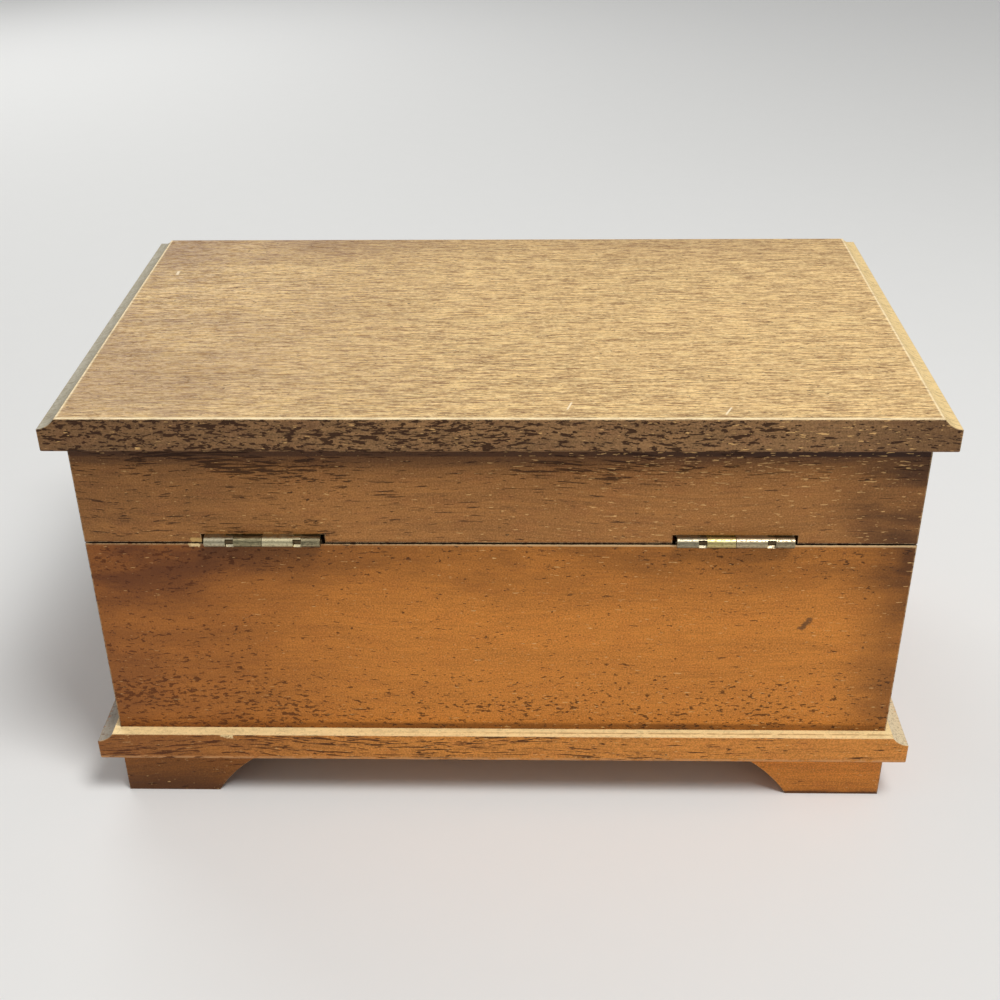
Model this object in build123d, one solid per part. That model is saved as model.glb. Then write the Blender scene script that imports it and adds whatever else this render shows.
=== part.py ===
from build123d import *
import math
import os

# Musical jewelry box: a mitred wooden case on bracket feet, a moulded lid on two stop hinges,
# a lined inside with a mirror, and a wound musical movement that the closed lid stops.
# Millimetres. +Z is up and the box stands on z = 0. The front faces -Y, the hinges are at +Y,
# X runs along the box, and the origin is under the middle of the whole outline.

# Case
body_width = 200.0
body_depth = 113.0
body_height = 57.0           # walls, from the base board to the seam
wall = 7.0                   # walls and lid rails
seam_gap = 0.5               # the lid rails hang this far above the walls
lid_rail_height = 27.1

lid_board_thickness = 8.4
lid_overhang = 4.5           # of the lid board past the rails, all round
lid_cove_width = 4.4         # moulding along the front and the ends, none at the back
lid_cove_drop = 2.6
cove_hollow = 0.55           # depth of the moulding's curve below its chord
lid_board_round = 0.6        # worn lower arris

base_thickness = 8.4
base_overhang = 5.6          # of the base board past the front and the ends
base_back_overhang = 3.1
base_cove_width = 4.1
base_cove_drop = 2.4
base_board_round = 0.9

foot_height = 13.2
foot_thickness = 8.0
foot_length = 24.5           # on the table, from the corner to the bracket's curve
foot_shoulder = 13.5         # the curve ends this much further along, at the base board
foot_hollow = 1.2            # bow of that curve
foot_setback = 5.0           # from the base board's front and end edges
foot_back_setback = 3.0
foot_block = 9.0             # glue block inside each corner
foot_block_gap = 3.0         # and its height above the table

base_screw_radius = 1.6
base_screw_head_radius = 3.2
base_screw_length = 22.0
base_screw_inset = 47.0      # from the ends of the body
screw_fit = 0.02             # radial clearance of a screw in its hole
slot_width = 0.6             # driver slot
slot_depth = 0.4
screw_head_round = 0.3
largest_round = 0.45         # share of a thickness that its rounded edges may take

# Hinges
hinge_inset = 43.4           # from the end of the body to the middle of a hinge
knuckle_lengths = (7.1, 6.9, 9.4, 4.6)   # lid, box, lid, box, from the +X end
knuckle_gap = 0.12
knuckle_radius = 1.4
hinge_pin_radius = 0.65
hinge_pin_clearance = 0.07
hinge_stand_off = 1.0        # the pin's line lies this far behind the back wall
leaf_thickness = 0.7
leaf_reach = 5.4             # from the back face into the top of the wall
leaf_relief = 0.12           # between a leaf's edge and the other leaf's knuckles
mortise_margin = 0.95        # the lid's mortise is longer than the leaf at each end
mortise_gap = 0.3            # and deeper than its front edge
stop_window = 1.9            # length of the notch that the stop finger stands in
stop_ring_start = 50.0       # degrees above the outward level where the notched ring begins
stop_ring_end = 205.0
stop_finger_arc = 62.0
lid_opening = 95.0           # degrees
stop_slack = 0.6             # degrees left between finger and ring when the lid is open
leaf_screw_spacing = 17.0
leaf_screw_radius = 0.9
leaf_screw_head_radius = 1.55
leaf_screw_length = 6.0

# Linings, compartments and mirror
lining = 1.5                 # velvet-covered card
lining_drop = 3.0            # the box lining ends this far below the top of the walls
lining_gap = 0.15            # round what is glued in between linings
floor_pad_thickness = 3.0
divider_thickness = 4.0
divider_height = 36.0
divider_round = 1.6
bay_end_room = 1.75          # in the movement's bay, past each end of the bedplate
bay_side_room = 10.0
cover_thickness = 2.0
cover_drop = 0.6             # from the top of the dividers to the top of the clear cover
ledge_width = 5.0
ledge_height = 4.0
ring_block_height = 20.0
ring_roll_count = 3
ring_roll_gap = 0.5
ring_roll_flat = 0.5         # each roll is flattened this much where it rests
soft_gap = 0.3
lid_lining_height = 20.0
lid_pad_thickness = 4.0
mirror_length = 150.0
mirror_depth = 64.0
mirror_thickness = 2.0
mirror_lap = 2.0             # the padded border laps the mirror's edge
mirror_gap = 0.1

# Movement. Its heights are above the underside of its bedplate, and its places along X are counted
# from the winding line
bedplate_winding_end = 14.0  # of the bedplate, past the winding line
bedplate_bracket_end = 0.35  # of the bedplate, past the lever's bracket
bedplate_depth = 42.0
bedplate_thickness = 2.5
bedplate_corner = 3.0
arbor_height = 14.0          # the cylinder's line
running = 0.07               # radial clearance of a small bearing
play = 0.1                   # between faces that turn past each other

pressure_angle = math.radians(20.0)
backlash = 0.13

barrel_radius = 12.0
barrel_wall = 1.8
barrel_floor = 0.9
barrel_boss_radius = 4.5
barrel_boss_height = 0.5
crown_module = 0.5
crown_teeth = 44
cylinder_pinion_teeth = 11
crown_tooth_width = 1.6
crown_addendum = 0.38
crown_dedendum = 0.6
crown_disc_thickness = 0.8
winding_arbor_radius = 2.0
winding_tail_radius = 1.5
winding_pivot_radius = 1.2
winding_pivot_height = 0.9   # above the crown wheel's disc
mainspring_thickness = 0.35
mainspring_height = 4.8
mainspring_pitch = 1.2
mainspring_half_turns = 12
mainspring_start = 2.5

clutch_wire = 0.35           # radius of the one-way spring's wire
clutch_pitch = 1.2
clutch_turns = 3.5
clutch_clearance = 0.12
clutch_drop = 1.0            # below the bedplate

key_hole_radius = 8.0
key_stem_radius = 3.0
key_top_gap = 0.6            # below the base board
key_table_gap = 1.2          # above the table
key_stem_length = 4.6
key_bore_depth = 4.0
key_wing_width = 17.0
key_wing_thickness = 2.0
key_wing_round = 2.6

post_thickness = 1.4
post_width = 6.0
post_top = 3.0               # post above the cylinder's line
post_round = 2.4
cylinder_radius = 6.2
cylinder_length = 20.0
cylinder_wall = 0.8
cylinder_end = 1.5
cylinder_arbor_radius = 0.9
side_gap = 0.6               # between the cylinder, its wheels and the posts
pinion_addendum = 0.5
pin_radius = 0.16
pin_height = 0.4
pin_rows = 4                 # pins of each note round the cylinder
pin_step = 137.5             # degrees from one note's first pin to the next note's
comb_teeth = 18
comb_pitch = 1.03
comb_slot = 0.32
comb_thickness = 0.9
comb_depth = 13.0
comb_tip_gap = 0.15
comb_slot_short = 5.2
comb_slot_long = 7.8
comb_end_margin = 0.8
comb_ledge_depth = 4.8
small_screw_radius = 0.9
small_screw_head_radius = 1.7
small_screw_head_height = 0.9
small_screw_length = 4.5
comb_screw_inset = 4.2

wheel_module = 0.4
great_wheel_teeth = 40
governor_pinion_teeth = 10
wheel_addendum = 0.3
wheel_dedendum = 0.5
wheel_thickness = 1.4
governor_drop = 20.0         # degrees that the governor's line lies below the cylinder's
governor_arbor_radius = 0.6
frame_plate = 1.0
frame_gap = 4.4
frame_plate_depth = 7.4
frame_plate_top = 3.0        # plates above the governor's line
frame_column_depth = 3.6
frame_top_thickness = 1.0
frame_top_reach = 1.6        # top plate past the fly's line
worm_module = 0.5
worm_wheel_teeth = 20
worm_starts = 2
worm_pitch_radius = 1.5
worm_addendum = 0.45
worm_dedendum = 0.55
worm_length = 6.0
worm_wheel_width = 1.5
worm_wheel_addendum = 0.4
worm_wheel_dedendum = 0.6
fly_spindle_radius = 0.6
fly_pivot_radius = 0.4
fly_pivot_length = 1.0
fly_disc_radius = 2.6
fly_disc_thickness = 0.8
fly_disc_height = 5.0
fly_blade_reach = 4.5
fly_blade_height = 5.0
fly_blade_thickness = 0.4
fly_blade_gap = 0.8          # below the frame's top plate
fly_hub_radius = 1.1
frame_top = 22.2

lever_thickness = 0.8
lever_width = 2.0
lever_height = 4.4           # the lever's pivot
lever_pivot_reach = 4.1      # from the fly's line to the pivot
lever_tip_gap = 0.35         # between the lever's tip and the fly's spindle
lever_end_margin = 0.9       # past the rod's line
lever_pin_radius = 0.6
lever_hub_radius = 1.25
bracket_ear = 1.0
bracket_ear_half = 1.35
bracket_foot = 0.4           # thickness
rod_radius = 1.0
rod_travel = 2.0
rod_foot_gap = 0.1           # between the lever and the rod
rod_proud = 0.35             # above the wall when the lid is shut
rod_round = 0.28
pocket_room = 2.2            # above the raised lever
pocket_width = 5.0
pocket_depth = 5.3
lining_notch_gap = 0.6

screw_boss_radius = 3.0
screw_boss_height = 5.5
movement_screw_radius = 1.25
movement_screw_head_radius = 2.6
movement_screw_head_height = 1.6
movement_screw_bite = 4.4
movement_screw_inset = 5.0   # from the bedplate's edges

# Levels and lines that follow from those sizes
base_bottom = foot_height
base_top = base_bottom + base_thickness
wall_top = base_top + body_height
rail_bottom = wall_top + seam_gap
rail_top = rail_bottom + lid_rail_height
box_top = rail_top + lid_board_thickness

half_width = body_width / 2
case_y = (base_overhang - lid_overhang) / 2
back_y = case_y + body_depth / 2
front_y = case_y - body_depth / 2
inner_x = half_width - wall
inner_back = back_y - wall
inner_front = front_y + wall
lined_x = inner_x - lining
lined_back = inner_back - lining
lined_front = inner_front + lining

hinge_length = sum(knuckle_lengths)
hinge_y = back_y + hinge_stand_off
hinge_z = wall_top + knuckle_radius
mortise_roof = hinge_z + knuckle_radius
leaf_front = back_y - leaf_reach
knuckle_relief = hinge_y - knuckle_radius - leaf_relief
leaf_screw_y = (leaf_front + knuckle_relief) / 2

divider_top = base_top + divider_height
crown_radius = crown_teeth * crown_module / 2
pinion_reach = crown_radius - crown_tooth_width / 2
post_left_reach = pinion_reach + crown_tooth_width + side_gap
drum_reach = post_left_reach + post_thickness + side_gap
great_reach = drum_reach + cylinder_length + side_gap
post_right_reach = great_reach + wheel_thickness + side_gap
fly_reach = post_right_reach + frame_plate + frame_gap / 2
bracket_reach = fly_reach + lever_pivot_reach + bracket_ear_half
bedplate_length = bedplate_winding_end + bracket_reach + bedplate_bracket_end
bay_width = bedplate_length + 2 * bay_end_room
bay_depth = bedplate_depth + 2 * bay_side_room
cross_x = lined_x - bay_width            # right face of the cross divider
long_y = lined_back - bay_depth          # back face of the long divider
cover_top = divider_top - cover_drop
ledge_top = cover_top - cover_thickness
ceiling = rail_top - lid_pad_thickness

plate_x = (cross_x + lined_x) / 2
winding_x = plate_x - bedplate_length / 2 + bedplate_winding_end
move_y = (long_y + lined_back) / 2
move_z = base_top
arbor_z = move_z + arbor_height
plate_top = move_z + bedplate_thickness

cylinder_pinion_radius = cylinder_pinion_teeth * crown_module / 2
crown_pitch_z = arbor_z - cylinder_pinion_radius
crown_root_z = crown_pitch_z - crown_dedendum
crown_disc_z = crown_root_z - crown_disc_thickness
barrel_top = crown_disc_z - play

pinion_x = winding_x + pinion_reach
post_left_x = winding_x + post_left_reach
drum_x = winding_x + drum_reach
great_x = winding_x + great_reach
post_right_x = winding_x + post_right_reach

great_radius = great_wheel_teeth * wheel_module / 2
governor_pinion_radius = governor_pinion_teeth * wheel_module / 2
governor_reach = great_radius + governor_pinion_radius
governor_y = move_y + governor_reach * math.cos(math.radians(governor_drop))
governor_z = arbor_z - governor_reach * math.sin(math.radians(governor_drop))
frame_x = post_right_x
fly_x = winding_x + fly_reach
worm_wheel_radius = worm_wheel_teeth * worm_module / 2
worm_lead = math.pi * worm_module * worm_starts
fly_y = governor_y + worm_wheel_radius + worm_pitch_radius
frame_top_z = move_z + frame_top

lever_z = move_z + lever_height
lever_pivot_x = fly_x + lever_pivot_reach
pocket_top = lever_z + lever_thickness / 2 + rod_travel + pocket_room
rod_x = half_width - wall / 2
comb_tip_y = move_y - cylinder_radius - pin_height - comb_tip_gap
comb_back_y = comb_tip_y - comb_depth
comb_middle_x = drum_x + cylinder_length / 2
comb_half = comb_teeth * comb_pitch / 2 + comb_end_margin

screw_side_x = bedplate_length / 2 - movement_screw_inset
screw_side_y = bedplate_depth / 2 - movement_screw_inset
movement_screw_places = [
    (plate_x - screw_side_x, move_y + screw_side_y),
    (plate_x - screw_side_x, move_y - screw_side_y),
    (plate_x + screw_side_x, move_y - screw_side_y),
]


def block(x0, x1, y0, y1, z0, z1):
    """A box between two corners."""
    return Pos((x0 + x1) / 2, (y0 + y1) / 2, (z0 + z1) / 2) * Box(x1 - x0, y1 - y0, z1 - z0)


def rod_up(x, y, z0, z1, radius):
    """A round bar along Z."""
    return Pos(x, y, (z0 + z1) / 2) * Cylinder(radius, z1 - z0)


def rod_across(x0, x1, y, z, radius):
    """A round bar along X."""
    return Pos((x0 + x1) / 2, y, z) * Rot(0, 90, 0) * Cylinder(radius, x1 - x0)


def rod_deep(y0, y1, x, z, radius):
    """A round bar along Y."""
    return Pos(x, (y0 + y1) / 2, z) * Rot(90, 0, 0) * Cylinder(radius, y1 - y0)


def polar(radius, angle):
    """A point at a radius and an angle in radians."""
    return (radius * math.cos(angle), radius * math.sin(angle))


def prism(points, z0, z1):
    """An upright prism on a plan outline."""
    return extrude(Pos(0, 0, z0) * make_face(Polyline(*points, close=True)), amount=z1 - z0)


def save(shape, node):
    export_step(shape, f"parts/{node}.step")


def save_group(solids, node):
    export_step(Compound(children=list(solids)), f"parts/{node}.step")


def solid_of(shape):
    """The one solid of a shape that came out of a boolean."""
    return shape.solids()[0]


# Case joinery

def mitred_frame(z0, z1):
    """Four bars on the body's outline, mitred at the corners."""
    outer = [(-half_width, front_y), (half_width, front_y), (half_width, back_y), (-half_width, back_y)]
    inner = [(-inner_x, inner_front), (inner_x, inner_front), (inner_x, inner_back), (-inner_x, inner_back)]
    bars = {}
    for index, side in enumerate(("front", "right", "back", "left")):
        after = (index + 1) % len(outer)
        bars[side] = prism([outer[index], outer[after], inner[after], inner[index]], z0, z1)
    return bars


def cove_cutter(length, width, drop):
    """What a moulding plane takes off an upper arris: X along the edge, +Y outward, 0 at the arris."""
    chord = math.hypot(width, drop)
    middle = (-width / 2 - cove_hollow * drop / chord, -drop / 2 - cove_hollow * width / chord)
    curve = ThreePointArc((-width, 0), middle, (0, -drop))
    past = width
    edges = curve + Polyline((0, -drop), (past, -drop), (past, past), (-width, past), (-width, 0))
    section = Plane.YZ * make_face(edges)
    return extrude(section, amount=length / 2, both=True)


def moulded_board(x_edge, y_front, y_back, z0, z1, cove_width, cove_drop, arris_round):
    """A board with a cove along its front and ends and a plain back edge."""
    board = block(-x_edge, x_edge, y_front, y_back, z0, z1)
    lower = board.edges().filter_by(lambda edge: edge.center().Z < z0 + arris_round)
    board = fillet(lower, arris_round)
    cutter = cove_cutter(2 * (x_edge + y_back - y_front), cove_width, cove_drop)
    board -= Pos(0, y_front, z1) * Rot(0, 0, 180) * cutter
    board -= Pos(x_edge, 0, z1) * Rot(0, 0, -90) * cutter
    board -= Pos(-x_edge, 0, z1) * Rot(0, 0, 90) * cutter
    return board


def foot_bracket(length, shoulder):
    """One side of a foot: its face on y = 0, the corner at x = 0, mitred at 45 degrees."""
    chord = math.hypot(shoulder, foot_height)
    bow = foot_hollow / chord
    middle = (length + shoulder / 2 - bow * foot_height, foot_height / 2 + bow * shoulder)
    curve = ThreePointArc((length, 0), middle, (length + shoulder, foot_height))
    straight = Polyline((length + shoulder, foot_height), (0, foot_height), (0, 0), (length, 0))
    plate = extrude(Plane.XZ * make_face(curve + straight), amount=-foot_thickness)
    far = 2 * foot_thickness
    corner = prism([(0, 0), (-far, 0), (-far, far), (far, far)], -1, foot_height + 1)
    return plate - corner


def make_feet():
    """Four bracket feet, each of two mitred pieces with a glue block behind."""
    edge_x = half_width + base_overhang - foot_setback
    corners = {
        "front_left": (-1, front_y - base_overhang + foot_setback, 1),
        "front_right": (1, front_y - base_overhang + foot_setback, 1),
        "back_left": (-1, back_y + base_back_overhang - foot_back_setback, -1),
        "back_right": (1, back_y + base_back_overhang - foot_back_setback, -1),
    }
    blocks = []
    for name, (x_side, y, y_side) in corners.items():
        face_piece = foot_bracket(foot_length, foot_shoulder)
        side_piece = mirror(Rot(0, 0, -90) * foot_bracket(foot_length, foot_shoulder), Plane.XZ)
        inside = foot_thickness + foot_block
        glue = block(foot_thickness, inside, foot_thickness, inside, foot_block_gap, foot_height)
        placed = []
        for piece in (face_piece, side_piece, glue):
            if x_side > 0:
                piece = mirror(piece, Plane.YZ)
            if y_side < 0:
                piece = mirror(piece, Plane.XZ)
            placed.append(Pos(x_side * edge_x, y, 0) * piece)
        save_group([solid_of(piece) for piece in placed[:2]], f"foot_{name}")
        blocks.append(solid_of(placed[2]))
    save_group(blocks, "foot_blocks")


def countersunk_screw(radius, head_radius, length):
    """A wood screw along -Z whose flat head is level with z = 0, and its driver slot."""
    head_height = head_radius - radius
    head = Pos(0, 0, -head_height / 2) * Cone(radius, head_radius, head_height)
    tip = radius
    shank = rod_up(0, 0, tip - length, -head_height, radius)
    point = Pos(0, 0, -length + tip / 2) * Cone(radius / 2, radius, tip)
    slot = block(-head_radius, head_radius, -slot_width / 2, slot_width / 2, -slot_depth, slot_depth)
    return head + shank + point - slot


def screw_hole(radius, head_radius, length):
    """Room for a countersunk screw along -Z."""
    head_height = head_radius - radius
    head = Pos(0, 0, -head_height / 2) * Cone(radius + screw_fit, head_radius + screw_fit, head_height)
    return head + rod_up(0, 0, -length - screw_fit, -head_height, radius + screw_fit)


def base_screw_places():
    """Plan positions of the screws that hold the base board to the front and back walls."""
    x = half_width - base_screw_inset
    rows = (front_y + wall / 2, back_y - wall / 2)
    return [(side * x, y) for side in (-1, 1) for y in rows]


def pan_screw(radius, head_radius, head_height, length):
    """A machine screw along -Z: shank below z = 0, head above it."""
    head = rod_up(0, 0, 0, head_height, head_radius)
    head = fillet(head.edges().group_by(Axis.Z)[-1], min(screw_head_round, head_height * largest_round))
    slot_z = head_height - slot_depth
    slot = block(-head_radius, head_radius, -slot_width / 2, slot_width / 2, slot_z, head_height)
    return head + rod_up(0, 0, -length, 0, radius) - slot


def make_base():
    x_edge = half_width + base_overhang
    board = moulded_board(x_edge, front_y - base_overhang, back_y + base_back_overhang, base_bottom, base_top,
                          base_cove_width, base_cove_drop, base_board_round)
    board -= rod_up(winding_x, move_y, base_bottom, base_top, key_hole_radius)
    screws = []
    for x, y in base_screw_places():
        place = Pos(x, y, base_bottom) * Rot(180, 0, 0)
        board -= place * screw_hole(base_screw_radius, base_screw_head_radius, base_screw_length)
        screws.append(solid_of(place * countersunk_screw(base_screw_radius, base_screw_head_radius,
                                                         base_screw_length)))
    movement_screws = []
    for x, y in movement_screw_places:
        board -= rod_up(x, y, base_bottom, base_top, movement_screw_radius + screw_fit)
        screw = pan_screw(movement_screw_radius, movement_screw_head_radius, movement_screw_head_height,
                          base_thickness + movement_screw_bite)
        movement_screws.append(solid_of(Pos(x, y, base_bottom) * Rot(180, 0, 0) * screw))
    save(board, "base_board")
    save_group(screws, "base_screws")
    save_group(movement_screws, "movement_screws")


def hinge_centres():
    x = half_width - hinge_inset
    return {"left": -x, "right": x}


def leaf_screw_places(centre):
    half = leaf_screw_spacing / 2
    return [(centre - half, leaf_screw_y), (centre + half, leaf_screw_y)]


def make_walls():
    walls = mitred_frame(base_top, wall_top)
    for x, y in base_screw_places():
        side = "back" if y > case_y else "front"
        hole = Pos(x, y, base_bottom) * Rot(180, 0, 0)
        walls[side] -= hole * screw_hole(base_screw_radius, base_screw_head_radius, base_screw_length)
    for centre in hinge_centres().values():
        for x, y in leaf_screw_places(centre):
            hole = rod_up(x, y, wall_top - leaf_screw_length, wall_top, leaf_screw_radius + screw_fit)
            walls["back"] -= hole
    walls["right"] -= rod_up(rod_x, fly_y, base_top, wall_top, rod_radius + running)
    half_pocket = pocket_width / 2
    walls["right"] -= block(inner_x, inner_x + pocket_depth, fly_y - half_pocket, fly_y + half_pocket,
                            base_top, pocket_top)
    for side, bar in walls.items():
        save(bar, f"wall_{side}")


def make_lid():
    rails = mitred_frame(rail_bottom, rail_top)
    half_mortise = hinge_length / 2 + mortise_margin
    for centre in hinge_centres().values():
        rails["back"] -= block(centre - half_mortise, centre + half_mortise, leaf_front - mortise_gap, back_y,
                               rail_bottom, mortise_roof)
        for x, y in leaf_screw_places(centre):
            rails["back"] -= rod_up(x, y, mortise_roof, mortise_roof + leaf_screw_length,
                                    leaf_screw_radius + screw_fit)
    for side, bar in rails.items():
        save(bar, f"lid_rail_{side}")
    board = moulded_board(half_width + lid_overhang, front_y - lid_overhang, back_y + lid_overhang,
                          rail_top, box_top, lid_cove_width, lid_cove_drop, lid_board_round)
    save(board, "lid_board")


# Hinges

def ring_sector(x0, x1, start, end):
    """Part of a knuckle between two angles, counted from +Y towards +Z, round the hinge line."""
    inner = hinge_pin_radius + hinge_pin_clearance
    first = math.radians(start)
    last = math.radians(end)
    middle = (first + last) / 2
    outer_arc = ThreePointArc(*[polar(knuckle_radius, angle) for angle in (first, middle, last)])
    inner_arc = ThreePointArc(*[polar(inner, angle) for angle in (last, middle, first)])
    sides = Line(outer_arc @ 1, inner_arc @ 0) + Line(inner_arc @ 1, outer_arc @ 0)
    section = Plane.YZ * make_face(outer_arc + inner_arc + sides)
    return Pos(x0, hinge_y, hinge_z) * extrude(section, amount=x1 - x0)


def knuckle(x0, x1):
    tube = rod_across(x0, x1, hinge_y, hinge_z, knuckle_radius)
    return tube - rod_across(x0, x1, hinge_y, hinge_z, hinge_pin_radius + hinge_pin_clearance)


def knuckle_spans(centre):
    """The four knuckles' ends along X, from the +X end."""
    spans = []
    upper = centre + hinge_length / 2
    for length in knuckle_lengths:
        spans.append((upper - length + knuckle_gap / 2, upper - knuckle_gap / 2))
        upper -= length
    return spans


def leaf_plate(centre, z0, own_spans, other_spans):
    """A leaf's flat part, which runs into its own knuckles and stops short of the other leaf's."""
    x0 = centre - hinge_length / 2
    plate = block(x0, x0 + hinge_length, leaf_front, knuckle_relief, z0, z0 + leaf_thickness)
    for low, high in own_spans:
        plate += block(low, high, leaf_front, hinge_y, z0, z0 + leaf_thickness)
    bore = hinge_pin_radius + hinge_pin_clearance
    plate -= rod_across(x0, x0 + hinge_length, hinge_y, hinge_z, bore)
    for low, high in other_spans:
        relief = knuckle_radius + leaf_relief
        plate -= rod_across(low - knuckle_gap, high + knuckle_gap, hinge_y, hinge_z, relief)
    return plate


def make_hinges():
    """Two stop hinges of four knuckles. A finger on each box knuckle stands in a notch of the lid's."""
    finger_top = stop_ring_start - lid_opening - stop_slack
    box_screws = []
    lid_screws = []
    for name, centre in hinge_centres().items():
        first, second, third, fourth = knuckle_spans(centre)
        lid_leaf = leaf_plate(centre, mortise_roof - leaf_thickness,
                              [(first[0] + stop_window, first[1]), (third[0] + stop_window, third[1])],
                              [second, fourth])
        box_leaf = leaf_plate(centre, wall_top, [second, fourth], [first, third])
        for low, high in (first, third):
            lid_leaf += knuckle(low + stop_window, high)
            lid_leaf += ring_sector(low, low + stop_window, stop_ring_start, stop_ring_end)
            box_leaf += ring_sector(low - knuckle_gap, low + stop_window - knuckle_gap,
                                    finger_top - stop_finger_arc, finger_top)
        for low, high in (second, fourth):
            box_leaf += knuckle(low, high)
        for x, y in leaf_screw_places(centre):
            down = Pos(x, y, wall_top + leaf_thickness)
            up = Pos(x, y, mortise_roof - leaf_thickness) * Rot(180, 0, 0)
            hole = screw_hole(leaf_screw_radius, leaf_screw_head_radius, leaf_screw_length)
            screw = countersunk_screw(leaf_screw_radius, leaf_screw_head_radius, leaf_screw_length)
            box_leaf -= down * hole
            lid_leaf -= up * hole
            box_screws.append(solid_of(down * screw))
            lid_screws.append(solid_of(up * screw))
        save(box_leaf, f"hinge_{name}_box_leaf")
        save(lid_leaf, f"hinge_{name}_lid_leaf")
        pin = rod_across(centre - hinge_length / 2, centre + hinge_length / 2, hinge_y, hinge_z,
                         hinge_pin_radius)
        save(pin, f"hinge_{name}_pin")
    save_group(box_screws, "box_leaf_screws")
    save_group(lid_screws, "lid_leaf_screws")


# Linings, compartments and mirror

def lining_band(z0, z1):
    """A card band round the inside of the case."""
    outer = block(-inner_x, inner_x, inner_front, inner_back, z0, z1)
    return outer - block(-lined_x, lined_x, lined_front, lined_back, z0, z1)


def make_linings():
    band = lining_band(base_top, wall_top - lining_drop)
    half_notch = lever_width / 2 + lining_notch_gap
    band -= block(lined_x, inner_x, fly_y - half_notch, fly_y + half_notch, base_top, pocket_top)
    save(band, "box_lining")
    save(lining_band(ceiling - lid_lining_height, ceiling), "lid_lining")
    window_x = mirror_length / 2 - mirror_lap
    window_y = mirror_depth / 2 - mirror_lap
    seat_x = mirror_length / 2 + mirror_gap
    seat_y = mirror_depth / 2 + mirror_gap
    pad_x = inner_x - lining_gap
    pad = block(-pad_x, pad_x, inner_front + lining_gap, inner_back - lining_gap, ceiling, rail_top)
    back_of_glass = rail_top - mirror_thickness
    pad -= block(-window_x, window_x, case_y - window_y, case_y + window_y, ceiling, rail_top)
    pad -= block(-seat_x, seat_x, case_y - seat_y, case_y + seat_y, back_of_glass, rail_top)
    save(pad, "lid_pad")
    glass_x = mirror_length / 2
    glass_y = mirror_depth / 2
    save(block(-glass_x, glass_x, case_y - glass_y, case_y + glass_y, back_of_glass, rail_top), "mirror")


def make_dividers():
    for node, corners in {
        "divider_long": (-lined_x, lined_x, long_y - divider_thickness, long_y),
        "divider_cross": (cross_x - divider_thickness, cross_x, long_y, lined_back),
    }.items():
        panel = block(*corners, base_top, divider_top)
        along = Axis.X if node == "divider_long" else Axis.Y
        top = panel.edges().filter_by(along).group_by(Axis.Z)[-1]
        save(fillet(top, min(divider_round, divider_thickness * largest_round)), node)
    tray = block(-lined_x + lining_gap, cross_x - divider_thickness - lining_gap, long_y + lining_gap,
                 lined_back - lining_gap, base_top, base_top + floor_pad_thickness)
    save(tray, "tray_pad")


def make_ring_rolls():
    """A block of foam with rolls along it, and rings are pushed in between the rolls."""
    low_y = lined_front + lining_gap
    high_y = long_y - divider_thickness - lining_gap
    end_x = lined_x - lining_gap
    block_top = base_top + ring_block_height
    save(block(-end_x, end_x, low_y, high_y, base_top, block_top), "ring_block")
    room = high_y - low_y - 2 * soft_gap - (ring_roll_count - 1) * ring_roll_gap
    radius = room / ring_roll_count / 2
    length = end_x - soft_gap
    for index in range(ring_roll_count):
        y = low_y + soft_gap + radius + index * (2 * radius + ring_roll_gap)
        z = block_top + radius - ring_roll_flat
        roll = rod_across(-length, length, y, z, radius)
        roll -= block(-length, length, y - radius, y + radius, z - radius, block_top)
        save(roll, f"ring_roll_{index + 1}")


def make_cover():
    """A clear cover that drops on two ledges over the movement."""
    low_x = cross_x + lining_gap
    high_x = lined_x - lining_gap
    ledges = []
    ledge_z = ledge_top - ledge_height
    for low_y in (long_y, lined_back - ledge_width):
        ledges.append(solid_of(block(cross_x, lined_x, low_y, low_y + ledge_width, ledge_z, ledge_top)))
    save_group(ledges, "cover_ledges")
    save(block(low_x, high_x, long_y + lining_gap, lined_back - lining_gap, ledge_top, cover_top),
         "movement_cover")


# Toothed wheels

def tooth_half_angle(teeth, module, radius):
    """Half the angle that an involute tooth fills at a radius, in radians."""
    pitch_radius = teeth * module / 2
    base_radius = pitch_radius * math.cos(pressure_angle)
    at_pitch = (math.pi * module / 2 - backlash) / (2 * pitch_radius)
    widest = at_pitch + math.tan(pressure_angle) - pressure_angle
    if radius <= base_radius:
        return widest
    angle = math.acos(base_radius / radius)
    return widest - math.tan(angle) + angle


def gear_face(teeth, module, addendum, dedendum, phase):
    """An involute wheel's outline with a tooth's middle at the phase, in degrees."""
    pitch_radius = teeth * module / 2
    radii = (pitch_radius - dedendum, pitch_radius, pitch_radius + addendum)
    halves = [tooth_half_angle(teeth, module, radius) for radius in radii]
    edges = []
    step = 2 * math.pi / teeth
    for index in range(teeth):
        middle = math.radians(phase) + index * step
        rising = [polar(radius, middle - half) for radius, half in zip(radii, halves)]
        falling = [polar(radius, middle + half) for radius, half in zip(radii, halves)]
        edges.append(Edge.make_three_point_arc(*rising))
        edges.append(Edge.make_line(rising[2], falling[2]))
        edges.append(Edge.make_three_point_arc(*falling[::-1]))
        edges.append(Edge.make_line(falling[0], polar(radii[0], middle + step - halves[0])))
    return Face(Wire(edges))


def gear_across(x0, x1, y, z, face):
    """A spur wheel along X. Its phase is counted from straight down towards +Y."""
    return Pos(x0, y, z) * Rot(0, 90, 0) * extrude(face, amount=x1 - x0)


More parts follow.
